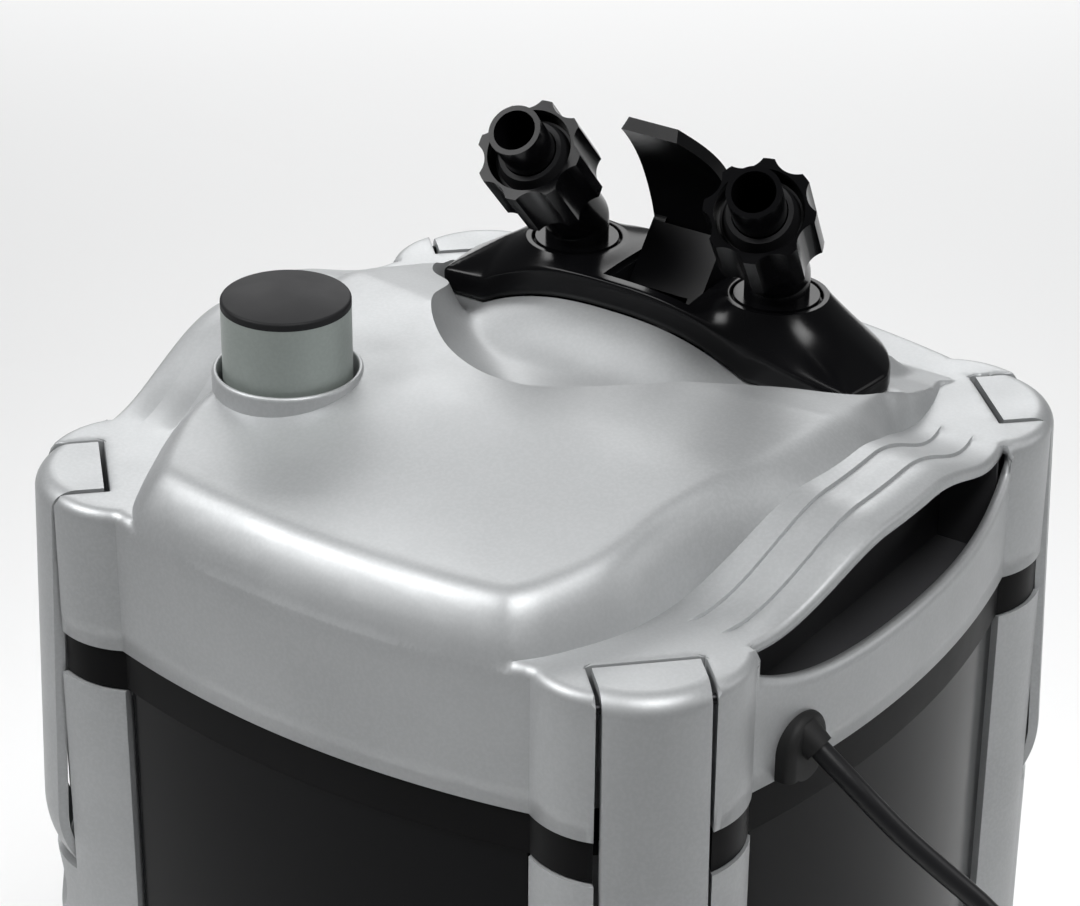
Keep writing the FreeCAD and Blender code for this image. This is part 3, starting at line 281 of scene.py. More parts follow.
RIDGE = [(-60.0, 30.0), (-54.0, 14.0), (-43.0, -1.0), (-27.0, -15.0), (-10.0, -22.5),
         (5.0, -22.0), (18.0, -14.0), (31.0, -2.0), (46.0, 13.0), (60.0, 28.0), (70.0, 36.5),
         (76.0, 44.0), (78.0, 54.0), (78.8, 62.0), (78.5, 75.0), (76.5, 90.0), (74.0, 112.0),
         (-74.0, 112.0), (-76.5, 90.0), (-78.5, 75.0), (-79.0, 62.0), (-78.0, 48.0), (-71.0, 37.0)]
CREST = [(5.0, 25.2), (13.0, 23.6), (28.0, 20.2), (40.0, 17.1), (52.0, 14.0), (57.0, 12.5), (63.0, 10.0),
         (68.0, 8.0), (75.0, 6.0), (84.0, 3.0), (98.0, 0.0)]
SLOPE = [(20.0, 12.5), (29.0, 11.2), (41.0, 7.0), (52.0, 6.0), (57.0, 4.4), (63.0, 3.8), (68.0, 2.9),
         (75.0, 2.2), (84.0, 1.2), (98.0, 1.0)]
ADP_BAND = [(-73.8, 6.8), (-29.0, 8.6), (42.0, 8.6), (53.0, 7.0), (73.8, 4.8)]


def smooth_loop(pts, k=6):
    """Closed curve through the points, k steps between two of them."""
    p = np.array(pts)
    out = []
    n = len(p)
    for i in range(n):
        a, b, c, d = p[i - 1], p[i], p[(i + 1) % n], p[(i + 2) % n]
        for j in range(k):
            t = j / k
            out.append(0.5 * (2 * b + (c - a) * t + (2 * a - 5 * b + 4 * c - d) * t * t
                              + (3 * b - a - 3 * c + d) * t ** 3))
    return np.array(out)


def sstep(t):
    t = np.clip(t, 0.0, 1.0)
    return t * t * (3 - 2 * t)


def seg_dist(P, poly, closed=True):
    """Distance of many points to a polyline."""
    a = np.array(poly)
    b = np.roll(a, -1, axis=0)
    if not closed:
        a, b = a[:-1], b[:-1]
    best = np.full(len(P), 1e9)
    for (x0, y0), (x1, y1) in zip(a, b):
        dx, dy = x1 - x0, y1 - y0
        ll = dx * dx + dy * dy
        if ll < 1e-12:
            continue
        t = np.clip(((P[:, 0] - x0) * dx + (P[:, 1] - y0) * dy) / ll, 0, 1)
        d = np.hypot(P[:, 0] - x0 - t * dx, P[:, 1] - y0 - t * dy)
        best = np.minimum(best, d)
    return best


def inside(P, poly):
    a = np.array(poly)
    b = np.roll(a, -1, axis=0)
    r = np.zeros(len(P), bool)
    for (x0, y0), (x1, y1) in zip(a, b):
        if y0 == y1:
            continue
        c = ((y0 > P[:, 1]) != (y1 > P[:, 1])) & (P[:, 0] < x0 + (P[:, 1] - y0) * (x1 - x0) / (y1 - y0))
        r ^= c
    return r


def sdist(P, poly):
    d = seg_dist(P, poly)
    return np.where(inside(P, poly), d, -d)


FOOT_S = smooth_loop(FOOT, 4)
RIDGE_S = smooth_loop(RIDGE, 6)


def table(tab, v):
    t = np.array(tab)
    return np.interp(v, t[:, 0], t[:, 1])


def face_x(y):
    r = (FACE_HALF ** 2 + (FACE_BOW - FACE_EDGE) ** 2) / (2 * (FACE_BOW - FACE_EDGE))
    yy = np.minimum(np.abs(y), FACE_HALF + 4)
    return FACE_BOW - r + np.sqrt(r * r - yy * yy)


def arch(y):
    return ARCH_H * (1 - sstep((np.abs(y) - 12.0) / 53.0))


def deck_z(x, y):
    off = face_x(y) - np.abs(x)
    up = 3.0 * sstep((off - 3.0) / 9.5) + 1.0 * sstep((off - 13.0) / 10.0)
    z = arch(y) * (1.0 + up / ARCH_H)
    # two shallow steps along the rail
    fade = 1 - sstep((np.abs(y) - 64.0) / 5.0)
    for o in (12.6, 23.0):
        ramp = np.clip((off - (o - 5.2)) / 5.2, 0, 1) * np.clip((o + 0.25 - off) / 0.25, 0, 1)
        z = z - 1.0 * ramp * fade
    return z


def crown_z(x, y):
    z = 14.5 + 10.8 * sstep((y + 112.0) / 87.0) * (1 - 0.16 * (x / 80.0) ** 2)
    return np.where(y > 5.0, np.minimum(z, table(CREST, y)), z)


def adp_low(x):
    d = np.abs(x + 10.0) / 47.0
    return 9.4 + np.where(d < 1, 10.4 * (1 - np.minimum(d, 1) ** 2.5), 0.0)


def floor_z(x, y):
    z = 8.6 + np.maximum(0.0, adp_low(x) - 0.7 - 8.6) * sstep((y - 14.0) / 27.0) * (1 - sstep((y - 43.5) / 3.0))
    z = z * (1 - sstep((y - 84.0) / 14.0))
    return z + (np.minimum(z, crown_z(x, y)) - z) * sstep((np.abs(x) - 60.0) / 8.0)


def head_z(P):
    x, y = P[:, 0], P[:, 1]
    d = sdist(P, FOOT_S)
    dz = deck_z(x, y)
    t = np.clip(d / table(SLOPE, y), 0, 1)
    z = dz + (crown_z(x, y) - dz) * (1 - (1 - t) ** 2)
    r = sdist(P, RIDGE_S)
    wide = 22.0 - 19.0 * sstep((y - 12.0) / 30.0)
    q = 1 - (1 - np.clip(r / wide, 0, 1)) ** 2
    z2 = z + (floor_z(x, y) - z) * q
    return np.where(d <= 0, dz, np.where(r > 0, z2, z))


def arc3(a, b, c, step=1.8):
    """Points on the circle through three points, from a to c."""
    ax, ay, bx, by, cx, cy = *a, *b, *c
    D = 2 * (ax * (by - cy) + bx * (cy - ay) + cx * (ay - by))
    ux = ((ax * ax + ay * ay) * (by - cy) + (bx * bx + by * by) * (cy - ay) + (cx * cx + cy * cy) * (ay - by)) / D
    uy = ((ax * ax + ay * ay) * (cx - bx) + (bx * bx + by * by) * (ax - cx) + (cx * cx + cy * cy) * (bx - ax)) / D
    r = math.hypot(ax - ux, ay - uy)
    t0, t1, t2 = (math.atan2(q - uy, p - ux) for p, q in ((ax, ay), (bx, by), (cx, cy)))
    def fwd(t, s):
        while t < s:
            t += 2 * math.pi
        return t
    if fwd(t1, t0) <= fwd(t2, t0):
        t2 = fwd(t2, t0)
    else:
        t2 = t0 - (fwd(t0, t2) - t2)
    n = max(2, int(abs(t2 - t0) * r / step))
    return [(ux + r * math.cos(t0 + (t2 - t0) * i / n), uy + r * math.sin(t0 + (t2 - t0) * i / n)) for i in range(n + 1)]


def line(a, b, step=1.8):
    n = max(1, int(math.hypot(b[0] - a[0], b[1] - a[1]) / step))
    return [(a[0] + (b[0] - a[0]) * i / n, a[1] + (b[1] - a[1]) * i / n) for i in range(n + 1)]


def strip_hit():
    """Where the corner strip meets the cheek of the latch pocket."""
    best = None
    for x, y in arc3((FACE_HALF, FACE_EDGE), SIDE_MID, SIDE_END, 0.2):
        half = (y - x) / math.sqrt(2)
        if best is None or abs(half - POCKET_HALF) < best[0]:
            best = (abs(half - POCKET_HALF), x, y)
    return best[1], best[2]


def perimeter():
    """Loop of (x, y, kind): wall, pocket or rail, for the segment that starts there."""
    hx, hy = strip_hit()
    c = math.sqrt(0.5)
    pocket = [(c * (POCKET_R - POCKET_HALF), c * (POCKET_R + POCKET_HALF)),
              (c * (POCKET_R + POCKET_HALF), c * (POCKET_R - POCKET_HALF))]
    full = arc3((FACE_HALF, FACE_EDGE), SIDE_MID, SIDE_END, 0.2)
    strip = [p for p in full if p[0] <= hx + 1e-9]
    strip = strip[::8] + [strip[-1]]
    out = []
    # corner between +Y and +X, walked clockwise: +Y crease, strip, pocket, strip, +X crease
    first = [(p, "wall") for p in strip]
    first += [(p, "pocket") for p in line(strip[-1], pocket[0])[1:]]
    first += [(p, "pocket") for p in line(pocket[0], pocket[1])[1:]]
    first += [(p, "pocket") for p in line(pocket[1], (strip[-1][1], strip[-1][0]))[1:]]
    first[len(strip) - 1] = (strip[-1], "pocket")
    first[-1] = (first[-1][0], "wall")
    first += [((y, x), "wall") for x, y in reversed(strip[:-1])]

    def side(k):
        """Face on +X (k even: with rail) from y=+half to y=-half."""
        if k % 2:
            f = arc3((FACE_EDGE, FACE_HALF), (FACE_BOW, 0), (FACE_EDGE, -FACE_HALF))
            return [(p, "wall") for p in f[1:-1]]
        a = 69.0
        fx = float(face_x(np.array([a]))[0])
        w = [((fx, a), "step")]
        w += [((fx - 1.5, a), "step"), ((fx - RAIL_OFF, a), "rail")]
        n = 76
        for i in range(1, n):
            y = a - 2 * a * i / n
            w.append(((float(face_x(np.array([y]))[0]) - RAIL_OFF, y), "rail"))
        w += [((fx - RAIL_OFF, -a), "step"), ((fx - 1.5, -a), "step"), ((fx, -a), "wall")]
        return w
    for k in range(4):
        # corner k lies clockwise after face k
        seq = first + side(k)
        t = -math.pi / 2 * k
        co, si = round(math.cos(t)), round(math.sin(t))
        for (x, y), kind in seq:
            out.append((x * co - y * si, x * si + y * co, kind))
    return out


def even(loop, step):
    """The same closed line with points at even distances."""
    a = np.vstack([loop, loop[:1]])
    s_ = np.concatenate([[0], np.cumsum(np.hypot(*(a[1:] - a[:-1]).T))])
    n_ = int(s_[-1] / step)
    t = np.arange(n_) * s_[-1] / n_
    return np.stack([np.interp(t, s_, a[:, 0]), np.interp(t, s_, a[:, 1])], axis=1)


def drop(d, r):
    q = np.clip(d, 0, r)
    return r - np.sqrt(np.maximum(0, r * r - (r - q) ** 2))


def build_head():
    per = perimeter()
    xy = np.array([(p[0], p[1]) for p in per])
    kinds = [p[2] for p in per]
    n = len(per)
    groups = {"wall": [], "pocket": [], "rail": []}
    for i in range(n):
        g = "rail" if kinds[i] in ("rail", "step") else kinds[i]
        groups[g].append((i, (i + 1) % n))

    def gdist(P, g):
        best = np.full(len(P), 1e9)
        for i, j in groups[g]:
            best = np.minimum(best, seg_dist(P, [xy[i], xy[j]], closed=False))
        return best
    R = {"wall": 3.5, "pocket": 0.8, "rail": 1.5}

    def top(P):
        z = head_z(P)
        dw = gdist(P, "wall")
        dr = drop(dw, R["wall"])
        # where the foot of the slope lies close to the wall, the edge between them is a plain steep band
        f = sdist(P, FOOT_S)
        w = np.maximum(dw - f, 1e-6)
        k = np.where(f < 0, 1 - sstep((w - 1.5) / 1.0), 0.0)
        dr = dr + k * (R["wall"] + (drop(w, R["wall"]) - R["wall"]) * np.clip(dw / w, 0, 1) - dr)
        z = z - np.maximum(np.maximum(dr, drop(gdist(P, "pocket"), R["pocket"])),
                           drop(gdist(P, "rail"), R["rail"]))
        return z
    rows = []
    # rows inside the border, for the round edges
    nrm = []
    for i in range(n):
        a, b = xy[i - 1], xy[(i + 1) % n]
        t = (b - a) / (np.hypot(*(b - a)) + 1e-9)
        nrm.append((t[1], -t[0]))
    nrm = np.array(nrm)                      # right hand side = inward for a clockwise loop
    for d, ks in ((0.2, ("wall", "pocket", "rail", "step")), (0.8, ("wall", "pocket", "rail", "step")),
                  (1.6, ("wall", "rail", "step")), (2.5, ("wall",)), (3.5, ("wall",))):
        q = np.array([xy[i] + nrm[i] * d for i in range(n) if kinds[i] in ks])
        ok = seg_dist(q, xy) > d * 0.93
        rows.append(q[ok & inside(q, xy)])
    # foot, ridge and steps of the rails
    creases = []
    for loop, offs in ((FOOT_S, (-0.6, 0.35, 0.9, 1.8)), (RIDGE_S, (-0.8, 0.7, 1.6, 3.0))):
        L = even(loop, 1.3)
        creases.append(L)
        t = np.roll(L, -1, axis=0) - np.roll(L, 1, axis=0)
        t /= np.hypot(t[:, 0], t[:, 1])[:, None] + 1e-9
        area_ = 0.5 * np.sum(L[:, 0] * np.roll(L[:, 1], -1) - np.roll(L[:, 0], -1) * L[:, 1])
        s_ = 1 if area_ > 0 else -1
        N = np.stack([-t[:, 1], t[:, 0]], axis=1) * s_
        for o in offs:
            rows.append(L + N * o)
    ys = np.arange(-68.6, 68.7, 1.9)
    for sx in (-1, 1):
        for o in (7.4, 12.6, 12.85, 17.8, 23.0, 23.25):
            rows.append(np.stack([sx * (face_x(ys) - o), ys], axis=1))
    holes = []
    for (cx_, cy_), r in ((KNOB, 20.4), ((-TOWER[0], TOWER[1]), 12.2), (TOWER, 12.2)):
        m_ = 40
        holes.append(np.array([(cx_ + r * math.cos(2 * math.pi * i / m_), cy_ + r * math.sin(2 * math.pi * i / m_)) for i in range(m_)]))
    for r in (21.6, 22.4):
        rows.append(np.array([(KNOB[0] + r * math.cos(2 * math.pi * i / 72), KNOB[1] + r * math.sin(2 * math.pi * i / 72)) for i in range(72)]))
    g = np.arange(-122, 123, 2.2)
    gx, gy = np.meshgrid(g, g)
    gx = gx + (np.arange(gx.shape[0]) % 2)[:, None] * 1.1
    rows.append(np.stack([gx.ravel(), gy.ravel()], axis=1))
    tree_pts = [xy] + holes
    kept = [xy] + holes
    grid = {}

    def near(p, lim):
        kx, ky = int(p[0] // 2), int(p[1] // 2)
        for i in (-1, 0, 1):
            for j in (-1, 0, 1):
                for q in grid.get((kx + i, ky + j), ()):
                    if (q[0] - p[0]) ** 2 + (q[1] - p[1]) ** 2 < lim * lim:
                        return True
        return False

    def put(p):
        grid.setdefault((int(p[0] // 2), int(p[1] // 2)), []).append(p)
    kept = kept + creases
    for a in kept:
        for p in a:
            put(p)
    extra = []
    for k, r_ in enumerate(rows):
        last = k == len(rows) - 1
        ok = inside(r_, xy)
        for h in holes:
            ok &= ~inside(r_, h)
        ok &= seg_dist(r_, xy) > (0.15 if k < 5 else (1.2 if last else 0.25))
        for p in r_[ok]:
            if not near(p, 1.25 if last else 0.17 if k < 5 else 0.22):
                put(p)
                extra.append(p)
    allp = np.concatenate(kept + [np.array(extra)])
    edges = []
    o = 0
    for a in kept:
        m_ = len(a)
        edges += [(o + i, o + (i + 1) % m_) for i in range(m_)]
        o += m_
    vs, es, fs, ov, oe, of = delaunay_2d_cdt([Vector((float(p[0]), float(p[1]))) for p in allp], edges, [], 0, 1e-4)
    V2 = np.array([(v[0], v[1]) for v in vs])
    tri = [tuple(f) for f in fs if len(f) == 3]
    T = np.array(tri)
    cen = V2[T].mean(axis=1)
    ok = inside(cen, xy)
    for h in holes:
        ok &= ~inside(cen, h)
    z = top(V2)
    verts = [(V2[i, 0], V2[i, 1], z[i]) for i in range(len(V2))]
    faces = []
    for t_ in T[ok]:
        a, b, c = V2[t_[0]], V2[t_[1]], V2[t_[2]]
        s_ = (b[0] - a[0]) * (c[1] - a[1]) - (b[1] - a[1]) * (c[0] - a[0])
        faces.append(tuple(t_) if s_ > 0 else (t_[0], t_[2], t_[1]))
    # walls below the border
    zt = top(xy)
    full = [-8.9, -14.0, -20.0, -28.0, -36.0, -44.0]

    def col(i, kind):
        if kind in ("rail", "step"):
            return [zt[i], zt[i] - 0.8, zt[i] - 1.8]
        return [zt[i]] + full
    for i in range(n):
        j = (i + 1) % n
        k = kinds[i]
        za, zb = col(i, k), col(j, k)
        base = len(verts)
        for q in range(len(za)):
            verts.append((xy[i][0], xy[i][1], za[q]))
            verts.append((xy[j][0], xy[j][1], zb[q]))
        for q in range(len(za) - 1):
            faces.append((base + 2 * q, base + 2 * q + 1, base + 2 * q + 3, base + 2 * q + 2))
    # wall under each opening
    for s in (1, -1):
        cols = []
        yy = [69.0 - 138.0 * i / 76 for i in range(77)]
        for y in yy:
            lip = -18.4 + 9.5 * (abs(y) / 69.0) ** 4
            x = float(face_x(np.array([y]))[0])
            f = (lip + 44.0) / (-8.9 + 44.0)
            cols.append([(s * x, s * y, -44.0 + (zz + 44.0) * f) for zz in full])
        base = len(verts)
        for c_ in cols:
            verts += c_
        m_ = len(full)
        for i in range(len(cols) - 1):
            for q in range(m_ - 1):
                a = base + i * m_ + q
                faces.append((a, a + m_, a + m_ + 1, a + 1))
    me = bpy.data.meshes.new("head_shell")
    me.from_pydata([(x * MM, y * MM, ZD + z_ * MM) for x, y, z_ in verts], [], faces)
    bm = bmesh.new()
    bm.from_mesh(me)
    bmesh.ops.remove_doubles(bm, verts=bm.verts, dist=2e-5)
    loose = [v for v in bm.verts if not v.link_faces]
    bmesh.ops.delete(bm, geom=loose, context="VERTS")
    bm.to_mesh(me)
    bm.free()
    return me


def lathe(rows, n=96, centre=(0, 0, 0), closed=True):
    """Mesh turned about Z from (r, z) rows in mm."""
    vs, fs = [], []
    m_ = len(rows)
    for i in range(n):
        a = 2 * math.pi * i / n
        for r, z_ in rows:
            vs.append(((centre[0] + r * math.cos(a)) * MM, (centre[1] + r * math.sin(a)) * MM, (centre[2] + z_) * MM))
    for i in range(n):
        j = (i + 1) % n
        for q in range(m_ if closed else m_ - 1):
            p = (q + 1) % m_
            fs.append((i * m_ + q, j * m_ + q, j * m_ + p, i * m_ + p))
    return vs, fs


def add_obj(name, me, mat, body, sharp=35.0):
    o = bpy.data.objects.new(name, me)
    bpy.context.scene.collection.objects.link(o)
    me.materials.append(mat)
    for p in me.polygons:
        p.use_smooth = True
    me.set_sharp_from_angle(angle=math.radians(sharp))
    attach(o, body)
    return o


head_me = build_head()
head_obj = add_obj("head_shell", head_me, MAT["satin_silver"], "housing", 38.0)
so = head_obj.modifiers.new("wall", "SOLIDIFY")
so.thickness = 0.0026
so.offset = -1.0
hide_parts("head_cover")
# collar round the knob
cv, cf = lathe([(20.1, 8.0), (21.6, 8.0), (21.6, 23.9), (21.35, 24.6), (21.0, 25.0), (20.5, 25.0), (20.25, 24.8), (20.1, 24.5)],
               centre=(KNOB[0], KNOB[1], 370.0))
cm = bpy.data.meshes.new("knob_collar")
cm.from_pydata(cv, [], cf)
col_obj = add_obj("knob_collar", cm, MAT["satin_silver"], "housing", 50.0)
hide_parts("head_cover")

# ------------------------------------------------------------------ hose adapter
def adapter_loop():
    """Clockwise plan with sharp front corners and wide round rear corners."""
    right = arc3((50.0, 84.0), (66.5, 75.5), (73.8, 62.6), 1.5) + arc3((73.8, 62.6), (73.3, 54.0), (72.2, 44.6), 1.5)[1:] \
        + [(71.9, 43.7), (71.3, 43.15), (70.4, 43.0)]
    left = [(-x, y) for x, y in reversed(right)]
    return np.array(right + line((70.4, 43.0), (-70.4, 43.0), 1.5)[1:-1] + left + line((-50.0, 84.0), (50.0, 84.0), 1.5)[1:-1])


def tent(P, loop):
    x, y = P[:, 0], P[:, 1]
    d = np.where(inside(P, loop), seg_dist(P, loop), 0.0)
    edge = adp_low(np.clip(x, -70, 70)) + table(ADP_BAND, x)
    best = np.zeros(len(P))
    for sx in (-1, 1):
        rho = np.hypot(x - sx * TOWER[0], y - TOWER[1])
        h = np.where(rho < 15.5, 1.0, d / (d + np.maximum(rho - 15.5, 0) + 1e-6))
        best = np.maximum(best, h)
    f = 0.35 + 0.65 * sstep((np.abs(x) - 13.0) / 7.0)
    best = np.where((np.abs(x) < 20) & (best < 1), best * f, best)
    z = edge + (30.0 - edge) * best
    rim = np.minimum(np.abs(np.hypot(x - TOWER[0], y - TOWER[1]) - 13.6), np.abs(np.hypot(x + TOWER[0], y - TOWER[1]) - 13.6))
    return z - drop(d, 0.9) - drop(rim, 0.6), edge


def build_adapter():
    loop = adapter_loop()
    n = len(loop)
    holes = []
    for sx in (-1, 1):
        holes.append(np.array([(sx * TOWER[0] + 13.6 * math.cos(2 * math.pi * i / 72), TOWER[1] + 13.6 * math.sin(2 * math.pi * i / 72)) for i in range(72)]))
    slot_ = np.array(line((-15.2, 46.6), (15.2, 46.6), 1.5)[:-1] + line((15.2, 46.6), (15.2, 81.0), 1.5)[:-1]
                     + line((15.2, 81.0), (-15.2, 81.0), 1.5)[:-1] + line((-15.2, 81.0), (-15.2, 46.6), 1.5)[:-1])
    holes.append(slot_)
    rows = []
    for d in (0.15, 0.45, 0.9, 1.8):
        q = []
        for i in range(n):
            a, b = loop[i - 1], loop[(i + 1) % n]
            t = (b - a) / (np.hypot(*(b - a)) + 1e-9)
            q.append(loop[i] + np.array((t[1], -t[0])) * d)
        q = np.array(q)
        rows.append(q[(seg_dist(q, loop) > d * 0.93) & inside(q, loop)])
    for sx in (-1, 1):
        for r in (13.75, 14.0, 14.25, 15.5, 15.9):
            rows.append(np.array([(sx * TOWER[0] + r * math.cos(2 * math.pi * i / 72), TOWER[1] + r * math.sin(2 * math.pi * i / 72)) for i in range(72)]))
    gx, gy = np.meshgrid(np.arange(-75, 76, 1.6), np.arange(42, 86, 1.6))
    rows.append(np.stack([gx.ravel(), gy.ravel()], axis=1))
    pts = [tuple(p) for a in [loop] + holes for p in a]
    m0 = len(pts)
    for k, r_ in enumerate(rows):
        last = k == len(rows) - 1
        ok = inside(r_, loop)
        for h in holes:
            ok &= ~inside(r_, h) & (seg_dist(r_, h) > (0.9 if last else 0.1))
        ok &= seg_dist(r_, loop) > (1.0 if last else 0.1)
        cur = np.array(pts[m0:]) if len(pts) > m0 else np.zeros((0, 2))
        for p in r_[ok]:
            if len(cur) and np.min(np.hypot(cur[:, 0] - p[0], cur[:, 1] - p[1])) < (0.9 if last else 0.1):
                continue
            pts.append(tuple(p))
    edges, o = [], 0
    for a in [loop] + holes:
        m_ = len(a)
        edges += [(o + i, o + (i + 1) % m_) for i in range(m_)]
        o += m_
    vs, es, fs, ov, oe, of = delaunay_2d_cdt([Vector((float(p[0]), float(p[1]))) for p in pts], edges, [], 0, 1e-4)
    V2 = np.array([(v[0], v[1]) for v in vs])
    T = np.array([tuple(f) for f in fs if len(f) == 3])
    cen = V2[T].mean(axis=1)
    ok = inside(cen, loop)
    for h in holes:
        ok &= ~inside(cen, h)
    z, _e = tent(V2, loop)
    verts = [(V2[i, 0], V2[i, 1], z[i]) for i in range(len(V2))]
    faces = []
    for t_ in T[ok]:
        a, b, c = V2[t_[0]], V2[t_[1]], V2[t_[2]]
        s_ = (b[0] - a[0]) * (c[1] - a[1]) - (b[1] - a[1]) * (c[0] - a[0])
        faces.append(tuple(t_) if s_ > 0 else (t_[0], t_[2], t_[1]))

    def strip(loop_, zt_, zb_, inward, steps=5):
        m_ = len(loop_)
        for i in range(m_):
            j = (i + 1) % m_
            base = len(verts)
            for q in range(steps + 1):
                f = q / steps
                verts.append((loop_[i][0], loop_[i][1], zt_[i] + (zb_[i] - zt_[i]) * f))
                verts.append((loop_[j][0], loop_[j][1], zt_[j] + (zb_[j] - zt_[j]) * f))
            for q in range(steps):
                f = (base + 2 * q, base + 2 * q + 1, base + 2 * q + 3, base + 2 * q + 2)
                faces.append(f if not inward else f[::-1])
    zt, _e = tent(loop, loop)
    low = np.where(loop[:, 1] < 45.0, adp_low(loop[:, 0]), 9.4)
    strip(loop, zt, low, False)
    for h in holes[:2]:
        zh, _e = tent(h, loop)
        strip(h, zh, zh * 0 + 20.2, True, 3)
    zh, _e = tent(slot_, loop)
    strip(slot_, zh, np.where(slot_[:, 1] < 46.7, 20.0, 12.6), True, 3)
    me = bpy.data.meshes.new("adapter_shell")
    me.from_pydata([(x * MM, y * MM, ZD + z_ * MM) for x, y, z_ in verts], [], faces)
    bm = bmesh.new()
    bm.from_mesh(me)
    bmesh.ops.remove_doubles(bm, verts=bm.verts, dist=2e-5)
    bmesh.ops.delete(bm, geom=[v for v in bm.verts if not v.link_faces], context="VERTS")
    bm.to_mesh(me)
    bm.free()
    return me


adp_obj = add_obj("adapter_shell", build_adapter(), MAT["black_gloss"], "adapter", 35.0)
ss = adp_obj.modifiers.new("wall", "SOLIDIFY")
ss.thickness = 0.0022
ss.offset = -1.0
# tower bores, spigots and the floor of the lever well, below the shell
for k, sx in enumerate((-1, 1)):
    v_, f_ = lathe([(6.4, -24.0), (10.0, -24.0), (11.2, -22.0), (11.2, 10.0), (16.0, 10.0), (16.0, 20.6), (9.8, 20.6), (9.8, 13.2), (8.0, 13.0), (8.0, -20.0)],
                   n=72, centre=(sx * TOWER[0], TOWER[1], 370.0))
    tm = bpy.data.meshes.new("adapter_tower")
    tm.from_pydata(v_, [], f_)
    to = add_obj("adapter_tower_" + ("left", "right")[k], tm, MAT["black_gloss"], "adapter", 40.0)
    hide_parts("hose_adapter")
wf = bpy.data.meshes.new("adapter_well")
bmw = bmesh.new()
bmesh.ops.create_cube(bmw, size=1.0)
for v in bmw.verts:
    v.co = Vector((v.co.x * 35.0, 65.3 + v.co.y * 32.5, 10.9 + v.co.z * 2.4)) * MM + Vector((0, 0, ZD))
bmw.to_mesh(wf)
bmw.free()
wo = add_obj("adapter_well", wf, MAT["black_gloss"], "adapter", 30.0)
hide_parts("hose_adapter")
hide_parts("hose_adapter")

# ------------------------------------------------------------------ mains cord
ROUTE = [(120.2, -52.5, 335.4), (131.0, -52.0, 327.7), (144.0, -48.0, 314.5),
         (156.0, -43.0, 303.5), (168.0, -37.0, 292.0), (180.5, -28.0, 272.0),
         (190.5, -19.5, 242.0), (197.5, -15.5, 202.0), (201.5, -13.0, 153.0),
         (203.5, -11.5, 102.0), (204.0, -9.5, 57.0), (204.2, -3.0, 23.0),
         (204.2, 17.0, 4.2), (204.0, 43.0, 3.05)]
COIL = (165.0, 60.0)


def coil_points():
    out = []
    a0 = math.degrees(math.atan2(6.0, 39.0))
    a1 = math.degrees(math.atan2(12.0, 34.0)) + 5 * 360
    n = 24 * 5
    k = 1.0 / math.cos(math.radians((a1 - a0) / n / 2))
    for i in range(n + 1):
        a = a0 + (a1 - a0) * i / n
        t = (a - a0) / 360.0
        if t < 2.0:
            r = 38.9 - 6.2 * t
        elif t < 4.0:
            r = 26.5 + 6.2 * max(0.0, t - 2.1)
        else:
            r = 38.3 + (36.2 - 38.3) * (t - 4.0) / 1.03
        z = 3.0 + 6.2 * float(sstep((t - 1.9) / 0.3)) + 6.2 * float(sstep((t - 4.0) / 0.3))
        out.append((COIL[0] + k * r * math.cos(math.radians(a)), COIL[1] + k * r * math.sin(math.radians(a)), z))
    return out


LAST = [(197.3, 88.0, 12.4), (194.0, 104.0, 7.2), (188.5, 118.5, 6.2)]
path_pts = ROUTE + coil_points() + LAST
cu = bpy.data.curves.new("mains_cord", "CURVE")
cu.dimensions = "3D"
sp = cu.splines.new("NURBS")
sp.points.add(len(path_pts) - 1)
for p, q in zip(sp.points, path_pts):
    p.co = (q[0] * MM, q[1] * MM, q[2] * MM, 1.0)
sp.order_u = 3
sp.use_endpoint_u = True
sp.resolution_u = 4
cu.bevel_depth = 0.003
cu.bevel_resolution = 6
cu.use_fill_caps = True
cord = bpy.data.objects.new("mains_cord", cu)
bpy.context.scene.collection.objects.link(cord)
cu.materials.append(MAT["cord_black"])
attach(cord, "housing")
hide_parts("cord_tube", "cord_coil", "cord_tail")

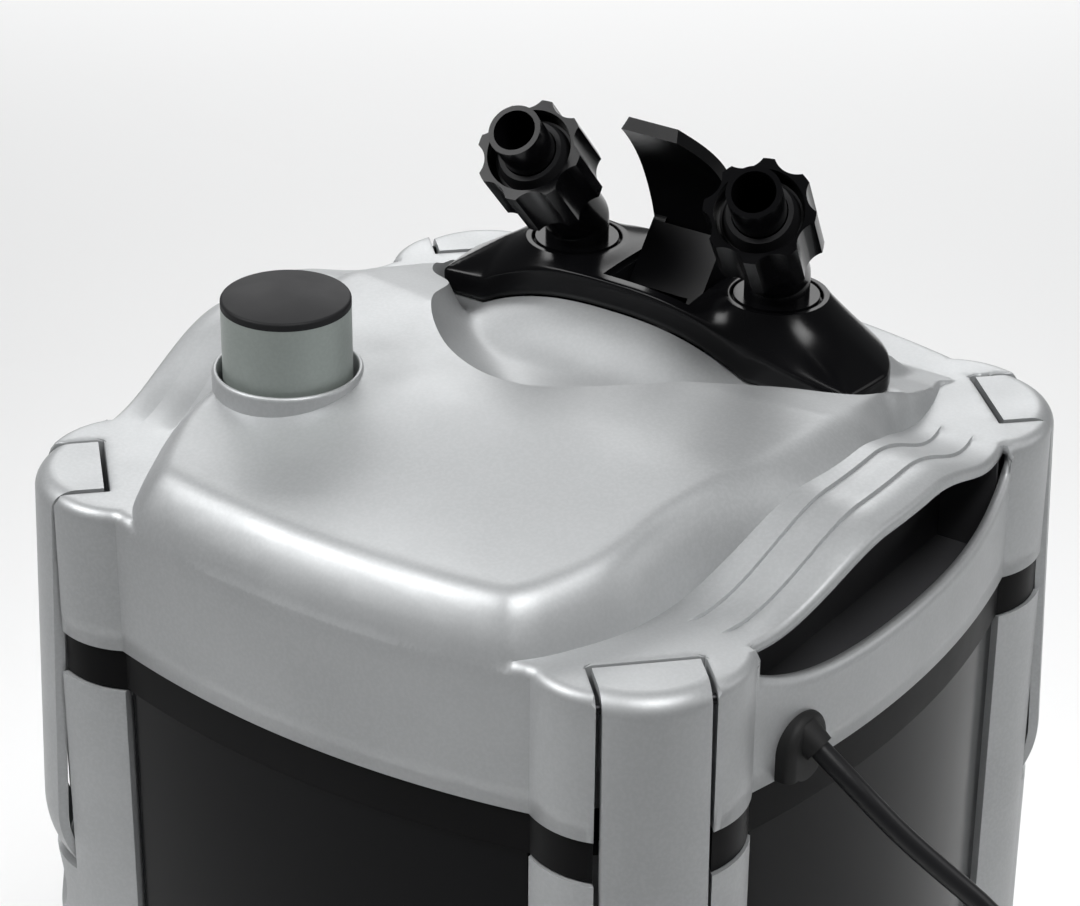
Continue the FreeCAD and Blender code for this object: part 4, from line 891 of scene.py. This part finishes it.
# ------------------------------------------------------------------ edges of the moulded pieces
BEVEL = {"release_lever": 0.7, "primer_cap": 0.0, "elbow_left": 0.35, "elbow_right": 0.35, "hose_nut_left": 0.6, "hose_nut_right": 0.6,
         "head_base": 0.5, "canister_body": 0.0, "handle_liner_right": 0.8, "handle_liner_left": 0.8, "plug_pins": 0.4}
for nm in ("front_right", "rear_right", "rear_left", "front_left"):
    BEVEL["latch_" + nm] = 0.5
    BEVEL["corner_column_" + nm] = 0.8
for node, w_ in BEVEL.items():
    if w_:
        b = frame["nodes"][node].modifiers.new("edge", "BEVEL")
        b.width = w_ * MM
        b.segments = 3
        b.limit_method = "ANGLE"
        b.angle_limit = math.radians(40)
        b.use_clamp_overlap = True
        b.harden_normals = False

# ------------------------------------------------------------------ stage
def add_plane(name, size, loc, col):
    me = bpy.data.meshes.new(name)
    s = size
    me.from_pydata([(-s, -s, 0), (s, -s, 0), (s, s, 0), (-s, s, 0)], [], [(0, 1, 2, 3)])
    o = bpy.data.objects.new(name, me)
    o.location = loc
    bpy.context.scene.collection.objects.link(o)
    m = Mat(name + "_paint")
    b = m.noise(1.5, 2.0)
    m.link(m.ramp(b, [(0.3, tuple(c * 0.99 for c in col)), (0.7, col)]), m.b.inputs["Base Color"])
    m.set("Roughness", 0.9)
    me.materials.append(m.m)
    return o


add_plane("floor", 6.0, (0, 0, 0), (0.90, 0.90, 0.90))

world = bpy.data.worlds.new("studio")
bpy.context.scene.world = world
world.use_nodes = True
wb = world.node_tree.nodes["Background"]
wb.inputs[0].default_value = (0.97, 0.985, 1.0, 1)
wb.inputs[1].default_value = 0.14

bpy.context.scene.view_settings.view_transform = "Standard"
bpy.context.scene.view_settings.look = "None"


def area(name, loc, target, size, power, size_y=None, spread=180):
    d = bpy.data.lights.new(name, "AREA")
    d.energy = power
    d.size = size
    if size_y:
        d.shape = "RECTANGLE"
        d.size_y = size_y
    o = bpy.data.objects.new(name, d)
    o.location = loc
    v = Vector(target) - Vector(loc)
    o.rotation_euler = v.to_track_quat("-Z", "Y").to_euler()
    d.spread = math.radians(spread)
    bpy.context.scene.collection.objects.link(o)
    return o


area("key", (-0.98, -0.94, 1.78), (0, -0.05, 0.38), 0.9, 2.9, spread=50)
area("top_right", (0.8, -0.4, 2.0), (0, 0, 0.38), 0.7, 1.9, spread=46)
area("back", (-1.7, 2.4, 1.75), (-1.2, 1.6, 0.0), 2.6, 32.0, 1.7, spread=105)
area("right", (2.2, 1.6, 1.3), (0.8, 1.1, 0.0), 1.6, 5.7, 1.0, spread=105)
